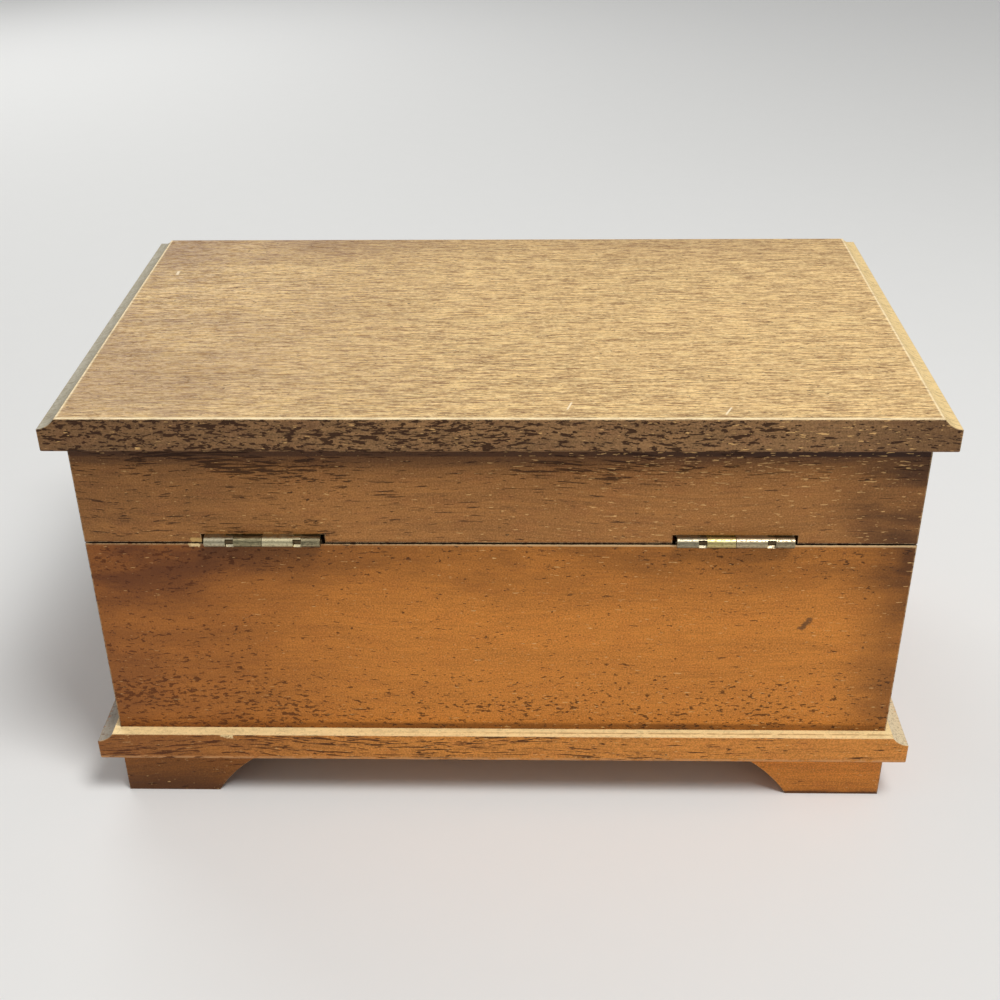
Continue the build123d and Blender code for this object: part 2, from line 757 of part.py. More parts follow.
def worm_outline():
    """The worm's section across its axis: one lobe for each start."""
    radii = (worm_pitch_radius - worm_dedendum, worm_pitch_radius, worm_pitch_radius + worm_addendum)
    halves = []
    for radius in radii:
        thickness = (math.pi * worm_module / 2 - backlash) / 2
        thickness += (worm_pitch_radius - radius) * math.tan(pressure_angle)
        halves.append(thickness / worm_lead * 2 * math.pi)
    edges = []
    step = 2 * math.pi / worm_starts
    # A groove faces the worm wheel at the section that lies on the wheel's level
    for index in range(worm_starts):
        middle = -math.pi / 2 + step / 2 + index * step
        rising = [polar(radius, middle - half) for radius, half in zip(radii, halves)]
        falling = [polar(radius, middle + half) for radius, half in zip(radii, halves)]
        crest = polar(radii[2], middle)
        gap_end = middle + step - halves[0]
        valley = polar(radii[0], (middle + halves[0] + gap_end) / 2)
        edges.append(Edge.make_three_point_arc(*rising))
        edges.append(Edge.make_three_point_arc(rising[2], crest, falling[2]))
        edges.append(Edge.make_three_point_arc(*falling[::-1]))
        edges.append(Edge.make_three_point_arc(falling[0], valley, polar(radii[0], gap_end)))
    return Face(Wire(edges))


def twisted(face, height, turn):
    """A face extruded along +Z by height while it turns by so many degrees."""
    return Solid.extrude_linear_with_rotation(face, (0, 0, 0), (0, 0, height), turn)


# Movement, fixed pieces

def bedplate_screw_places():
    """Plan positions, seat heights and reach of the small screws on the movement."""
    comb_y = comb_back_y + comb_ledge_depth / 2
    comb_top = arbor_z
    side = comb_half - comb_screw_inset
    frame_y = governor_y - frame_plate_depth / 2 + small_screw_head_radius
    frame_level = plate_top + frame_plate
    return [
        (comb_middle_x - side, comb_y, comb_top),
        (comb_middle_x + side, comb_y, comb_top),
        (fly_x, frame_y, frame_level),
    ]


def make_bedplate():
    half_length = bedplate_length / 2
    half_depth = bedplate_depth / 2
    plate = block(plate_x - half_length, plate_x + half_length, move_y - half_depth, move_y + half_depth,
                  move_z, plate_top)
    plate = fillet(plate.edges().filter_by(Axis.Z), bedplate_corner)
    plate += block(comb_middle_x - comb_half, comb_middle_x + comb_half, comb_back_y,
                   comb_back_y + comb_ledge_depth, plate_top, arbor_z - comb_thickness)
    for x, y in movement_screw_places:
        plate += rod_up(x, y, plate_top, move_z + screw_boss_height, screw_boss_radius)
        plate -= rod_up(x, y, move_z, move_z + movement_screw_bite, movement_screw_radius + screw_fit)
    plate -= rod_up(winding_x, move_y, move_z, plate_top, winding_tail_radius + running)
    plate -= rod_up(fly_x, fly_y, plate_top - fly_pivot_length, plate_top, fly_pivot_radius + running)
    screws = []
    for x, y, z in bedplate_screw_places():
        # A screw that would come out under the plate is cut short inside it
        length = min(small_screw_length, z - move_z - slot_depth)
        plate -= rod_up(x, y, z - length, z, small_screw_radius + screw_fit)
        screw = pan_screw(small_screw_radius, small_screw_head_radius, small_screw_head_height, length)
        screws.append(solid_of(Pos(x, y, z) * screw))
    save(plate, "bedplate")
    save_group(screws, "small_screws")


def make_spring_housing():
    cup = rod_up(winding_x, move_y, plate_top, barrel_top, barrel_radius)
    floor_z = plate_top + barrel_floor
    cup -= rod_up(winding_x, move_y, floor_z, barrel_top, barrel_radius - barrel_wall)
    cup += rod_up(winding_x, move_y, floor_z, floor_z + barrel_boss_height, barrel_boss_radius)
    cup -= rod_up(winding_x, move_y, plate_top, barrel_top, winding_tail_radius + running)
    save(cup, "spring_housing")


def make_mainspring():
    """A flat spiral of half-turn arcs, whose middle swaps sides at each half turn."""
    edges = []
    radius = mainspring_start
    centre = 0.0
    side = 1
    for index in range(mainspring_half_turns):
        start = (centre + side * radius, 0)
        top = (centre, side * radius)
        end = (centre - side * radius, 0)
        edges.append(Edge.make_three_point_arc(start, top, end))
        step = mainspring_pitch / 2
        centre += side * step
        radius += step
        side = -side
    path = Wire(edges)
    middle_z = plate_top + barrel_floor + barrel_boss_height + soft_gap + mainspring_height / 2
    section = Plane(origin=path @ 0, x_dir=(1, 0, 0), z_dir=path % 0) * Rectangle(
        mainspring_thickness, mainspring_height)
    band = sweep(section, path=path)
    save(Pos(winding_x, move_y, middle_z) * band, "mainspring")


def make_posts():
    for node, x0 in {"cylinder_post_left": post_left_x, "cylinder_post_right": post_right_x}.items():
        post = block(x0, x0 + post_thickness, move_y - post_width / 2, move_y + post_width / 2, plate_top,
                     arbor_z + post_top)
        top = post.edges().filter_by(Axis.X).group_by(Axis.Z)[-1]
        post = fillet(top, min(post_round, post_width * largest_round))
        post -= rod_across(x0, x0 + post_thickness, move_y, arbor_z, cylinder_arbor_radius + running)
        save(post, node)


def make_comb():
    """A steel plate cut into teeth that grow longer towards the low notes."""
    comb = block(comb_middle_x - comb_half, comb_middle_x + comb_half, comb_back_y, comb_tip_y,
                 arbor_z - comb_thickness, arbor_z)
    for index in range(comb_teeth + 1):
        x = comb_middle_x + (index - comb_teeth / 2) * comb_pitch
        share = index / comb_teeth
        length = comb_slot_long + (comb_slot_short - comb_slot_long) * share
        comb -= block(x - comb_slot / 2, x + comb_slot / 2, comb_tip_y - length, comb_tip_y,
                      arbor_z - comb_thickness, arbor_z)
    for x, y, z in bedplate_screw_places()[:2]:
        comb -= rod_up(x, y, z - comb_thickness, z, small_screw_radius + screw_fit)
    save(comb, "comb")


def make_governor_frame():
    """Two plates for the governor's wheel, with a foot between them and a top plate for the fly."""
    y0 = governor_y - frame_plate_depth / 2
    x1 = frame_x + frame_plate + frame_gap + frame_plate
    frame = block(frame_x, x1, y0, y0 + frame_column_depth, plate_top, plate_top + frame_plate)
    for x in (frame_x, x1 - frame_plate):
        frame += block(x, x + frame_plate, y0, y0 + frame_plate_depth, plate_top,
                       governor_z + frame_plate_top)
        frame += block(x, x + frame_plate, y0, y0 + frame_column_depth, plate_top, frame_top_z)
    frame += block(frame_x, x1, y0, fly_y + frame_top_reach, frame_top_z - frame_top_thickness, frame_top_z)
    frame -= rod_across(frame_x, x1, governor_y, governor_z, governor_arbor_radius + running)
    frame -= rod_up(fly_x, fly_y, frame_top_z - frame_top_thickness, frame_top_z, fly_pivot_radius + running)
    x, y, z = bedplate_screw_places()[2]
    frame -= rod_up(x, y, plate_top, z, small_screw_radius + screw_fit)
    save(frame, "governor_frame")


def make_lever_bracket():
    """Two ears on a thin foot, staked to the plate, and the pin that the stop lever turns on."""
    half = lever_width / 2 + play
    x0 = lever_pivot_x - bracket_ear_half
    x1 = lever_pivot_x + bracket_ear_half
    bracket = block(x0, x1, fly_y - half, fly_y + half, plate_top, plate_top + bracket_foot)
    for y in (fly_y - half - bracket_ear, fly_y + half):
        bracket += block(x0, x1, y, y + bracket_ear, plate_top, lever_z + lever_hub_radius)
    bracket += rod_deep(fly_y - half - bracket_ear, fly_y + half + bracket_ear, lever_pivot_x, lever_z,
                        lever_pin_radius)
    save(bracket, "lever_bracket")


# Movement, turning pieces

def make_winding():
    """The winding arbor with its crown wheel, one-way spring and key, which turn as it plays."""
    main_z = plate_top + barrel_floor + barrel_boss_height + play
    key_top = base_bottom - key_top_gap
    pivot_top = crown_root_z + winding_pivot_height
    arbor = rod_up(winding_x, move_y, main_z, crown_disc_z, winding_arbor_radius)
    arbor += rod_up(winding_x, move_y, key_top - key_bore_depth, main_z, winding_tail_radius)
    arbor += rod_up(winding_x, move_y, crown_disc_z, pivot_top, winding_pivot_radius)
    save(arbor, "winding_arbor")

    outer = crown_radius + crown_tooth_width / 2
    disc = rod_up(0, 0, crown_disc_z, crown_root_z, outer)
    half_pitch = (math.pi * crown_module / 2 - backlash) / 2
    half_root = half_pitch + crown_dedendum * math.tan(pressure_angle)
    half_tip = half_pitch - crown_addendum * math.tan(pressure_angle)
    tip_z = crown_pitch_z + crown_addendum
    sunk = crown_disc_thickness / 2
    section = make_face(Polyline((-half_root, crown_root_z - sunk), (half_root, crown_root_z - sunk),
                                 (half_root, crown_root_z), (half_tip, tip_z), (-half_tip, tip_z),
                                 (-half_root, crown_root_z), close=True))
    inside = math.sqrt(outer ** 2 - half_root ** 2)
    tooth_x = crown_radius - crown_tooth_width / 2
    tooth = Pos(tooth_x, 0, 0) * extrude(Plane.YZ * section, amount=inside - tooth_x)
    step = 360 / crown_teeth
    # A gap faces the pinion, along +X
    teeth = [Rot(0, 0, index * step + step / 2) * tooth for index in range(crown_teeth)]
    wheel = disc + teeth
    wheel -= rod_up(0, 0, crown_disc_z, crown_root_z, winding_pivot_radius + screw_fit)
    save(Pos(winding_x, move_y, 0) * wheel, "crown_wheel")

    coil_radius = winding_tail_radius + clutch_clearance + clutch_wire
    height = clutch_pitch * clutch_turns
    path = Edge.make_helix(clutch_pitch, height, coil_radius)
    coil = sweep(Plane(origin=path @ 0, z_dir=path % 0) * Circle(clutch_wire), path=path, is_frenet=True)
    save(Pos(winding_x, move_y, move_z - clutch_drop - height) * coil, "clutch_spring")

    wing_top = key_top - key_stem_length / 2
    wings = block(-key_wing_width / 2, key_wing_width / 2, -key_wing_thickness / 2, key_wing_thickness / 2,
                  key_table_gap, wing_top)
    wings = fillet(wings.edges().filter_by(Axis.Y), key_wing_round)
    stem = rod_up(0, 0, key_top - key_stem_length, key_top, key_stem_radius)
    key = wings + stem - rod_up(0, 0, key_top - key_bore_depth, key_top, winding_tail_radius + screw_fit)
    save(Pos(winding_x, move_y, 0) * key, "winding_key")


def make_cylinder():
    """The pinned cylinder, its arbor with the pinion, and the great wheel."""
    drum = rod_across(drum_x, drum_x + cylinder_length, move_y, arbor_z, cylinder_radius)
    drum -= rod_across(drum_x + cylinder_end, drum_x + cylinder_length - cylinder_end, move_y, arbor_z,
                       cylinder_radius - cylinder_wall)
    drum -= rod_across(drum_x, drum_x + cylinder_length, move_y, arbor_z, cylinder_arbor_radius + screw_fit)
    pins = []
    for note in range(comb_teeth):
        x = comb_middle_x + (2 * note + 1 - comb_teeth) / 2 * comb_pitch
        for row in range(pin_rows):
            turn = note * pin_step + row * 360 / pin_rows
            sunk = cylinder_wall / 2
            pin = rod_up(0, 0, cylinder_radius - sunk, cylinder_radius + pin_height, pin_radius)
            pins.append(Pos(x, move_y, arbor_z) * Rot(turn, 0, 0) * pin)
    save(drum + pins, "cylinder")

    end_x = post_right_x + post_thickness + side_gap
    arbor = rod_across(pinion_x - side_gap, end_x, move_y, arbor_z, cylinder_arbor_radius)
    pinion = gear_face(cylinder_pinion_teeth, crown_module, pinion_addendum, crown_dedendum, 0)
    arbor += gear_across(pinion_x, pinion_x + crown_tooth_width, move_y, arbor_z, pinion)
    save(arbor, "cylinder_arbor")

    face = gear_face(great_wheel_teeth, wheel_module, wheel_addendum, wheel_dedendum, 90 - governor_drop)
    wheel = gear_across(great_x, great_x + wheel_thickness, move_y, arbor_z, face)
    wheel -= rod_across(great_x, great_x + wheel_thickness, move_y, arbor_z,
                        cylinder_arbor_radius + screw_fit)
    save(wheel, "great_wheel")


def make_governor():
    """The governor's arbor with its pinion, and the wheel that turns the worm."""
    x1 = frame_x + 2 * frame_plate + frame_gap
    arbor = rod_across(great_x, x1 + side_gap, governor_y, governor_z, governor_arbor_radius)
    phase = 90 - governor_drop + 180 + 180 / governor_pinion_teeth
    pinion = gear_face(governor_pinion_teeth, wheel_module, wheel_addendum, wheel_dedendum, phase)
    arbor += gear_across(great_x, great_x + wheel_thickness, governor_y, governor_z, pinion)
    save(arbor, "governor_arbor")

    # The teeth slant as the worm's thread does where the two meet
    slant = worm_lead / (2 * math.pi * worm_pitch_radius)
    turn = math.degrees(worm_wheel_width * slant / worm_wheel_radius)
    face = gear_face(worm_wheel_teeth, worm_module, worm_wheel_addendum, worm_wheel_dedendum, 90 - turn / 2)
    wheel = twisted(face, worm_wheel_width, turn)
    wheel = Pos(fly_x - worm_wheel_width / 2, governor_y, governor_z) * Rot(0, 90, 0) * wheel
    wheel -= rod_across(frame_x, x1, governor_y, governor_z, governor_arbor_radius + screw_fit)
    save(wheel, "worm_wheel")


def make_fly():
    """The upright spindle with its worm and brake disc, and the air brake on it."""
    top = frame_top_z - frame_top_thickness
    spindle = rod_up(fly_x, fly_y, plate_top + play, top - play, fly_spindle_radius)
    spindle += rod_up(fly_x, fly_y, plate_top - fly_pivot_length + play, frame_top_z - play, fly_pivot_radius)
    disc_z = move_z + fly_disc_height
    spindle += rod_up(fly_x, fly_y, disc_z, disc_z + fly_disc_thickness, fly_disc_radius)
    turn = worm_length / worm_lead * 360
    worm = Rot(0, 0, -turn / 2) * twisted(worm_outline(), worm_length, turn)
    spindle += Pos(fly_x, fly_y, governor_z - worm_length / 2) * worm
    save(spindle, "fly_spindle")

    blade_top = top - fly_blade_gap
    blade_low = blade_top - fly_blade_height
    blades = block(fly_x - fly_blade_reach, fly_x + fly_blade_reach, fly_y - fly_blade_thickness / 2,
                   fly_y + fly_blade_thickness / 2, blade_low, blade_top)
    blades += rod_up(fly_x, fly_y, blade_low, blade_top, fly_hub_radius)
    blades -= rod_up(fly_x, fly_y, blade_low, blade_top, fly_spindle_radius + screw_fit)
    save(blades, "fly_blades")


def make_stop():
    """The lever that brakes the fly, and the rod that the closing lid pushes down on it."""
    tip_x = fly_x + fly_spindle_radius + lever_tip_gap
    end_x = rod_x + lever_end_margin
    y0 = fly_y - lever_width / 2
    y1 = fly_y + lever_width / 2
    lever = block(tip_x, end_x, y0, y1, lever_z - lever_thickness / 2, lever_z + lever_thickness / 2)
    lever += rod_deep(y0, y1, lever_pivot_x, lever_z, lever_hub_radius)
    lever -= rod_deep(y0, y1, lever_pivot_x, lever_z, lever_pin_radius + running)
    save(lever, "stop_lever")
    foot_z = lever_z + lever_thickness / 2 + rod_foot_gap
    rod = rod_up(rod_x, fly_y, foot_z, wall_top + rod_proud, rod_radius)
    rod = fillet(rod.edges().group_by(Axis.Z)[-1], min(rod_round, rod_radius * largest_round))
    save(rod, "stop_rod")


os.makedirs("parts", exist_ok=True)
make_feet()
make_base()
make_walls()
make_lid()
make_hinges()
make_linings()
make_dividers()
make_ring_rolls()
make_cover()
make_bedplate()
make_spring_housing()
make_mainspring()
make_posts()
make_comb()
make_governor_frame()
make_lever_bracket()
make_winding()
make_cylinder()
make_governor()
make_fly()
make_stop()
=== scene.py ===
"""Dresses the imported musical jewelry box: aged wood, brass hinges, velvet, mirror and movement.

Laid out as a Blender add-on, and run as a script. Everything is in metres in the part's own
frame: +Z is up, the box stands on z = 0, its front faces -Y and its hinges are at +Y. Inside a
material, places and sizes are in millimetres at rest, so that the wear stays where it is.
"""

import math
from functools import partial

import bmesh
import bpy
from bpy.props import FloatProperty, FloatVectorProperty, PointerProperty
from mathutils import Matrix, Vector, noise


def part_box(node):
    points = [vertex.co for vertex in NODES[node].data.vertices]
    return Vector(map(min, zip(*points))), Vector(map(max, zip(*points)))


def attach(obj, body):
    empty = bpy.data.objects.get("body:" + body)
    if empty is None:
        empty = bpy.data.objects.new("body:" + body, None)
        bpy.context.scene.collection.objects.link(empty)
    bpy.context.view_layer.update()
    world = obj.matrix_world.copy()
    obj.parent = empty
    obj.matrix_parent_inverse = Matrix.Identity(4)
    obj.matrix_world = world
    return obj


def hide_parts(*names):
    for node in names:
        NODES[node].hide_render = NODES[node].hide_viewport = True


bl_info = {
    "name": "Musical jewelry box",
    "version": (1, 0, 0),
    "blender": (4, 5, 0),
    "location": "3D View > Sidebar > Jewelry box",
    "description": "Wood, brass, velvet, mirror and movement of a musical jewelry box",
    "category": "Object",
}

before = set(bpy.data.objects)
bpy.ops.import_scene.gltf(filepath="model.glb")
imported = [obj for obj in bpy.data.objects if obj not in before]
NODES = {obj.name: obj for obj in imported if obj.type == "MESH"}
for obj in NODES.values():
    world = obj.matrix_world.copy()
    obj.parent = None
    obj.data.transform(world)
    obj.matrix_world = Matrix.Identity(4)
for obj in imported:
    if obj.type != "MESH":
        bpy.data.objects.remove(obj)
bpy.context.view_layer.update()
MM = 0.001
X = Vector((1, 0, 0))
Y = Vector((0, 1, 0))
Z = Vector((0, 0, 1))


def tone(red, green, blue):
    """A colour given as it looks on screen, 0 to 255, as the linear colour that a shader takes."""
    linear = []
    for value in (red / 255, green / 255, blue / 255):
        linear.append(value / 12.92 if value <= 0.04045 else ((value + 0.055) / 1.055) ** 2.4)
    return tuple(linear)


def scaled(base, factor, lift=0.0):
    """A colour that much lighter or darker, and no channel over full."""
    return tuple(min(1.0, factor * value + lift) for value in base)


def box_mm(node):
    """A node's lowest and highest corners in millimetres."""
    return [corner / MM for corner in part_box(node)]


# Sizes and colours that a user would change

def length(name, description, millimetres):
    return FloatProperty(name=name, description=description, default=millimetres * MM, unit="LENGTH",
                         subtype="DISTANCE", precision=4)


def share(name, description, default):
    return FloatProperty(name=name, description=description, default=default, min=0, max=1, subtype="FACTOR")


def power(name, description, watts):
    return FloatProperty(name=name, description=description, default=watts, min=0, unit="POWER")


def colour(name, description, *screen):
    return FloatVectorProperty(name=name, description=description, default=tone(*screen), size=3, min=0,
                               max=1, subtype="COLOR")


class WoodSettings(bpy.types.PropertyGroup):
    """The aged wood of the case and the lid."""
    # Bleached varnish, painted paler as well for the sheen on the top
    top_bleach_and_sheen_tone: colour("Lid top", "Bleached varnish on the flat of the lid", 212, 175, 122)
    body_tone: colour("Walls", "Varnished walls of the case", 209, 132, 52)
    rail_tone: colour("Lid rails", "Varnished rails round the lid", 172, 116, 60)
    lid_edge_tone: colour("Lid edge", "Edge of the lid board", 146, 108, 68)
    base_tone: colour("Base edge", "Edge of the base board", 210, 136, 58)
    ledge_tone: colour("Worn ledge", "Bare wood along the top of the base board", 250, 220, 160)
    # Greyed varnish, with a painted reflection of the pale surroundings
    cove_grey_and_reflection_tone: colour("Lid coves", "Greyed varnish in the moulding of the lid", 172, 164, 142)
    foot_tone: colour("Feet", "Bracket feet", 224, 139, 50)
    inside_tone: colour("Dividers", "Dividers and cover ledges", 140, 84, 44)
    pore_tone: colour("Pores", "Open pores filled with dirt", 50, 26, 12)
    # Laid where the ageing darkens the wood: grime, and painted shade under the lid, below it and in the
    # seam
    grime_and_shade_tone: colour("Grime", "Dirt along joints and at the ends", 60, 31, 15)
    worn_tone: colour("Worn arris", "Wood showing through at the edges", 236, 200, 148)
    fibre_width: length("Fibre width", "Width of the fine streaks", 0.5)
    arris: length("Worn arris width", "Radius that the edges are worn to", 0.4)
    gloss: share("Dullness", "Roughness of the old varnish", 0.42)


class MetalSettings(bpy.types.PropertyGroup):
    """Hinges, screws and movement."""
    brass_tone: colour("Hinge brass", "Aged brass of the hinges", 190, 176, 138)
    tarnish_tone: colour("Tarnish", "Grey tarnish on the hinges", 134, 124, 104)
    # Dirt in hollows; on the hinges also painted shade on the knuckles' undersides
    brass_dirt_and_shade: colour("Brass dirt", "Dirt in the hollows of the hinges", 52, 44, 32)
    steel_tone: colour("Steel", "Plated steel of screws, pins and housing", 176, 174, 168)
    gilt_tone: colour("Bedplate", "Gilt lacquer on the cast bedplate", 188, 160, 96)
    wheel_tone: colour("Wheel brass", "Brass of the wheels and the cylinder", 205, 170, 100)
    blued_tone: colour("Blued steel", "Blued springs", 74, 80, 96)
    plastic_tone: colour("Moulded wheel", "Moulded worm wheel and air brake", 224, 218, 200)
    arris: length("Edge radius", "Radius of the worn edges", 0.12)


class TrimSettings(bpy.types.PropertyGroup):
    """Velvet, mirror and cover."""
    velvet_tone: colour("Velvet", "Colour of the pile", 122, 22, 38)
    velvet_sheen: colour("Velvet sheen", "Colour of the pile seen across", 196, 92, 104)
    mirror_tone: colour("Mirror", "Silvering of the mirror", 232, 236, 236)
    cover_tone: colour("Clear cover", "Tint of the clear cover", 236, 246, 244)
    panel_rim: length("Panel rim", "Radius of the rim of a covered panel", 1.2)
    mirror_bevel: length("Mirror bevel", "Width of the mirror's ground edge", 6.0)
    pile: length("Pile", "Size of the tufts of the pile", 0.35)


class StageSettings(bpy.types.PropertyGroup):
    """Floor, backdrop, lamps and camera."""
    floor_tone: colour("Floor", "Pale floor and backdrop", 232, 232, 230)
    key_power: power("Key lamp", "Power of the large lamp", 10.2)
    fill_power: power("Fill lamp", "Power of the lamp in front", 3.0)
    sky_strength: FloatProperty(name="Sky", description="Strength of the even light", default=0.31, min=0)
    lens: FloatProperty(name="Lens", description="Focal length of the camera in millimetres",
                        default=49.15, min=1)


# Colours of single streaks, stains and marks, and of painted shade and painted reflection

PALE_DUST = tone(200, 170, 160)
RUDDY_VARNISH = tone(132, 66, 30)
LIGHT_STREAK = tone(250, 212, 146)
DARK_STREAK = tone(136, 100, 62)
LIGHT_FLECK = tone(254, 226, 168)
DARK_FLECK = tone(126, 90, 54)
GLINT = tone(250, 222, 158)
COOL_STAIN_AND_SHADE = tone(128, 94, 70)
BARE_RIM = tone(252, 230, 184)
BARE_SCRATCH = tone(252, 232, 196)
TAN_COVE = tone(236, 206, 146)
COVE_STREAK = tone(120, 100, 76)
PALE_COVE = tone(224, 204, 166)
COVE_REFLECTION_GREY = tone(150, 140, 124)
FRONT_COVE = tone(184, 142, 92)
COVE_GRAIN = tone(120, 92, 64)
SCRIBED_LINE = tone(150, 104, 60)
RUBBED_ARRIS = tone(214, 156, 100)
MORTISE_SHADE = tone(30, 20, 14)
RAW_CHIP = tone(210, 172, 104)
SEAM_SHADE = tone(30, 18, 12)
OLD_STAIN = tone(66, 50, 34)
MIRROR_HAZE = tone(150, 146, 136)
MIRROR_SPECK = tone(90, 80, 66)
PIN_STEEL = tone(110, 92, 68)
OIL_GRIME = tone(70, 62, 50)
YELLOWED = tone(170, 158, 130)
FAR_FLOOR = tone(252, 252, 251)


# Shader graphs

class Wire:
    """A socket of a shader graph that takes part in Python arithmetic."""

    def __init__(self, graph, socket):
        self.graph = graph
        self.socket = socket

    def maths(self, operation, first, second=0.0):
        return self.graph.node("ShaderNodeMath", {"operation": operation}, {0: first, 1: second})

    def __add__(self, other):
        return self.maths("ADD", self, other)

    __radd__ = __add__

    def __sub__(self, other):
        return self.maths("SUBTRACT", self, other)

    def __rsub__(self, other):
        return self.maths("SUBTRACT", other, self)

    def __mul__(self, other):
        return self.maths("MULTIPLY", self, other)

    __rmul__ = __mul__

    def __truediv__(self, other):
        return self.maths("DIVIDE", self, other)

    def __pow__(self, other):
        return self.maths("POWER", self, other)

    def __abs__(self):
        return self.maths("ABSOLUTE", self)

    def most(self, other):
        return self.maths("MAXIMUM", self, other)

    def least(self, other):
        return self.maths("MINIMUM", self, other)

    def above(self, level):
        return self.maths("GREATER_THAN", self, level)

    def rise(self, low, high):
        """0 below low, 1 above high and smooth between; falls where low is the larger."""
        return self.graph.node("ShaderNodeMapRange", {"interpolation_type": "SMOOTHSTEP"},
                               {"Value": self, "From Min": low, "From Max": high})


class Graph:
    """A node tree and the method that adds any node to it."""

    def __init__(self, tree):
        self.tree = tree

    def feed(self, socket, value):
        if isinstance(value, Wire):
            self.tree.links.new(value.socket, socket)
        elif socket.type == "RGBA" and len(value) == 3:
            socket.default_value = (*value, 1)
        else:
            socket.default_value = value

    def node(self, kind, settings=None, sockets=None, output=0):
        """Any node: its settings first, then the values or links of its sockets."""
        made = self.tree.nodes.new(kind)
        for name, value in (settings or {}).items():
            setattr(made, name, value)
        for name, value in (sockets or {}).items():
            self.feed(made.inputs[name], value)
        return Wire(self, made.outputs[output])

    def vectors(self, operation, *values, output=0):
        return self.node("ShaderNodeVectorMath", {"operation": operation}, dict(enumerate(values)), output)

    def split(self, vector):
        parts = self.node("ShaderNodeSeparateXYZ", sockets={0: vector}).socket.node
        return [Wire(self, parts.outputs[axis]) for axis in "XYZ"]

    def mix(self, factor, first, second):
        """Blends two colours, which a Mix node takes at sockets 6 and 7."""
        return self.node("ShaderNodeMix", {"data_type": "RGBA"}, {0: factor, 6: first, 7: second}, 2)

    def pick(self, factor, first, second):
        """Blends two vectors, which a Mix node takes at sockets 4 and 5."""
        return self.node("ShaderNodeMix", {"data_type": "VECTOR"}, {0: factor, 4: first, 5: second}, 1)

    def paint(self, ground, *layers):
        """A colour with others laid over it in turn, each given as its mask and its colour."""
        for mask, laid in layers:
            ground = self.mix(mask, ground, laid)
        return ground

    def cloud(self, vector, detail=2.0, roughness=0.5, output="Fac"):
        return self.node("ShaderNodeTexNoise", sockets={"Vector": vector, "Scale": 1.0, "Detail": detail,
                                                        "Roughness": roughness}, output=output)

    def stretch(self, place, per_mm):
        """The place counted in steps, so many to a millimetre: one number or one for each axis."""
        steps = per_mm if isinstance(per_mm, tuple) else (per_mm,) * 3
        return self.vectors("MULTIPLY", place, steps)

    def spots(self, place, per_mm, detail=2.0, roughness=0.5, output="Fac"):
        """Noise over the piece, with so many spots to a millimetre, as stretch takes it."""
        return self.cloud(self.stretch(place, per_mm), detail, roughness, output)

    def marks(self, vector, portion, soft=0.035):
        """Ragged marks, about half a unit of the vector in size, over roughly this portion of it."""
        return (self.cloud(vector, 2.0, 0.6) + (0.42 * portion - 0.69)).rise(0.0, soft)

    def shifted(self, place, per_mm, reach, detail, roughness=0.5):
        """The place moved at random by up to half of reach, in millimetres, each way."""
        jitter = self.spots(place, per_mm, detail, roughness, "Color")
        centred = self.vectors("SUBTRACT", jitter, (0.5,) * 3)
        return self.vectors("MULTIPLY_ADD", centred, (reach,) * 3, place)

    def scar(self, place, start, end, width):
        """A straight mark from start to end that thins out towards its ends."""
        start = Vector(start)
        run = Vector(end) - start
        size = run.length
        along = self.vectors("SUBTRACT", place, tuple(start))
        step = self.vectors("DOT_PRODUCT", along, tuple(run / size), output="Value")
        square = self.vectors("DOT_PRODUCT", along, along, output="Value")
        beside = (square - step * step).most(0.0) ** 0.5
        inside = (step / size) * (1.0 - step / size) * 4.0
        return beside.rise(width, 0.4 * width) * inside.rise(0.0, 0.45)

    def chip(self, place, mark, y, z, ragged):
        """A ragged mark on the back at y: its ends as (x, height over z), and its width."""
        (start_x, start_z), (end_x, end_z), width = mark
        frayed = self.shifted(place, 0.9, 2 * ragged, 3.0, 0.65)
        return self.scar(frayed, (start_x, y, z + start_z), (end_x, y, z + end_z), width)


class Finish(Graph):
    """One material: a Principled shader, and what its colour and relief are worked out from."""

    def __init__(self, name, **fixed):
        self.material = bpy.data.materials.new(name)
        self.material.use_nodes = True
        super().__init__(self.material.node_tree)
        self.tree.nodes.clear()
        self.shader = self.tree.nodes.new("ShaderNodeBsdfPrincipled")
        output = self.tree.nodes.new("ShaderNodeOutputMaterial")
        self.tree.links.new(self.shader.outputs[0], output.inputs["Surface"])
        self.give(**fixed)

    def give(self, **sockets):
        """Feeds sockets of the Principled shader."""
        for socket, value in sockets.items():
            self.feed(self.shader.inputs[socket.replace("_", " ")], value)

    def place(self):
        """The point on the piece, in millimetres at rest."""
        at = self.node("ShaderNodeTexCoord", output="Object")
        return self.vectors("MULTIPLY", at, (1.0 / MM,) * 3)

    def facing(self):
        """The surface's direction on the piece at rest, as three numbers."""
        return self.split(self.node("ShaderNodeTexCoord", output="Normal"))

    def worn(self, radius):
        """How sharp the surface is within a radius, and the direction with the edges rounded."""
        round_off = self.node("ShaderNodeBevel", {"samples": 4}, {"Radius": radius})
        straight = self.node("ShaderNodeNewGeometry", output="Normal")
        return 1.0 - self.vectors("DOT_PRODUCT", round_off, straight, output="Value"), round_off

    def bump(self, height, depth, direction=None):
        """Relief of a height between 0 and 1, this deep in millimetres."""
        sockets = {"Height": height, "Distance": depth * MM, "Strength": 1.0}
        if direction is not None:
            sockets["Normal"] = direction
        return self.node("ShaderNodeBump", sockets=sockets)


def grain(finish, place, run, along, across):
    """Coordinates stretched along the grain: one unit is this many millimetres each way."""
    scale = {"X": (1 / along, 1 / across, 1 / across), "Y": (1 / across, 1 / along, 1 / across)}
    if run != "wrap":
        return finish.stretch(place, scale[run])
    # The grain runs round the case: along Y on the ends, along X elsewhere
    at_end = abs(finish.facing()[0]).above(0.7)
    return finish.pick(at_end, finish.stretch(place, scale["X"]), finish.stretch(place, scale["Y"]))


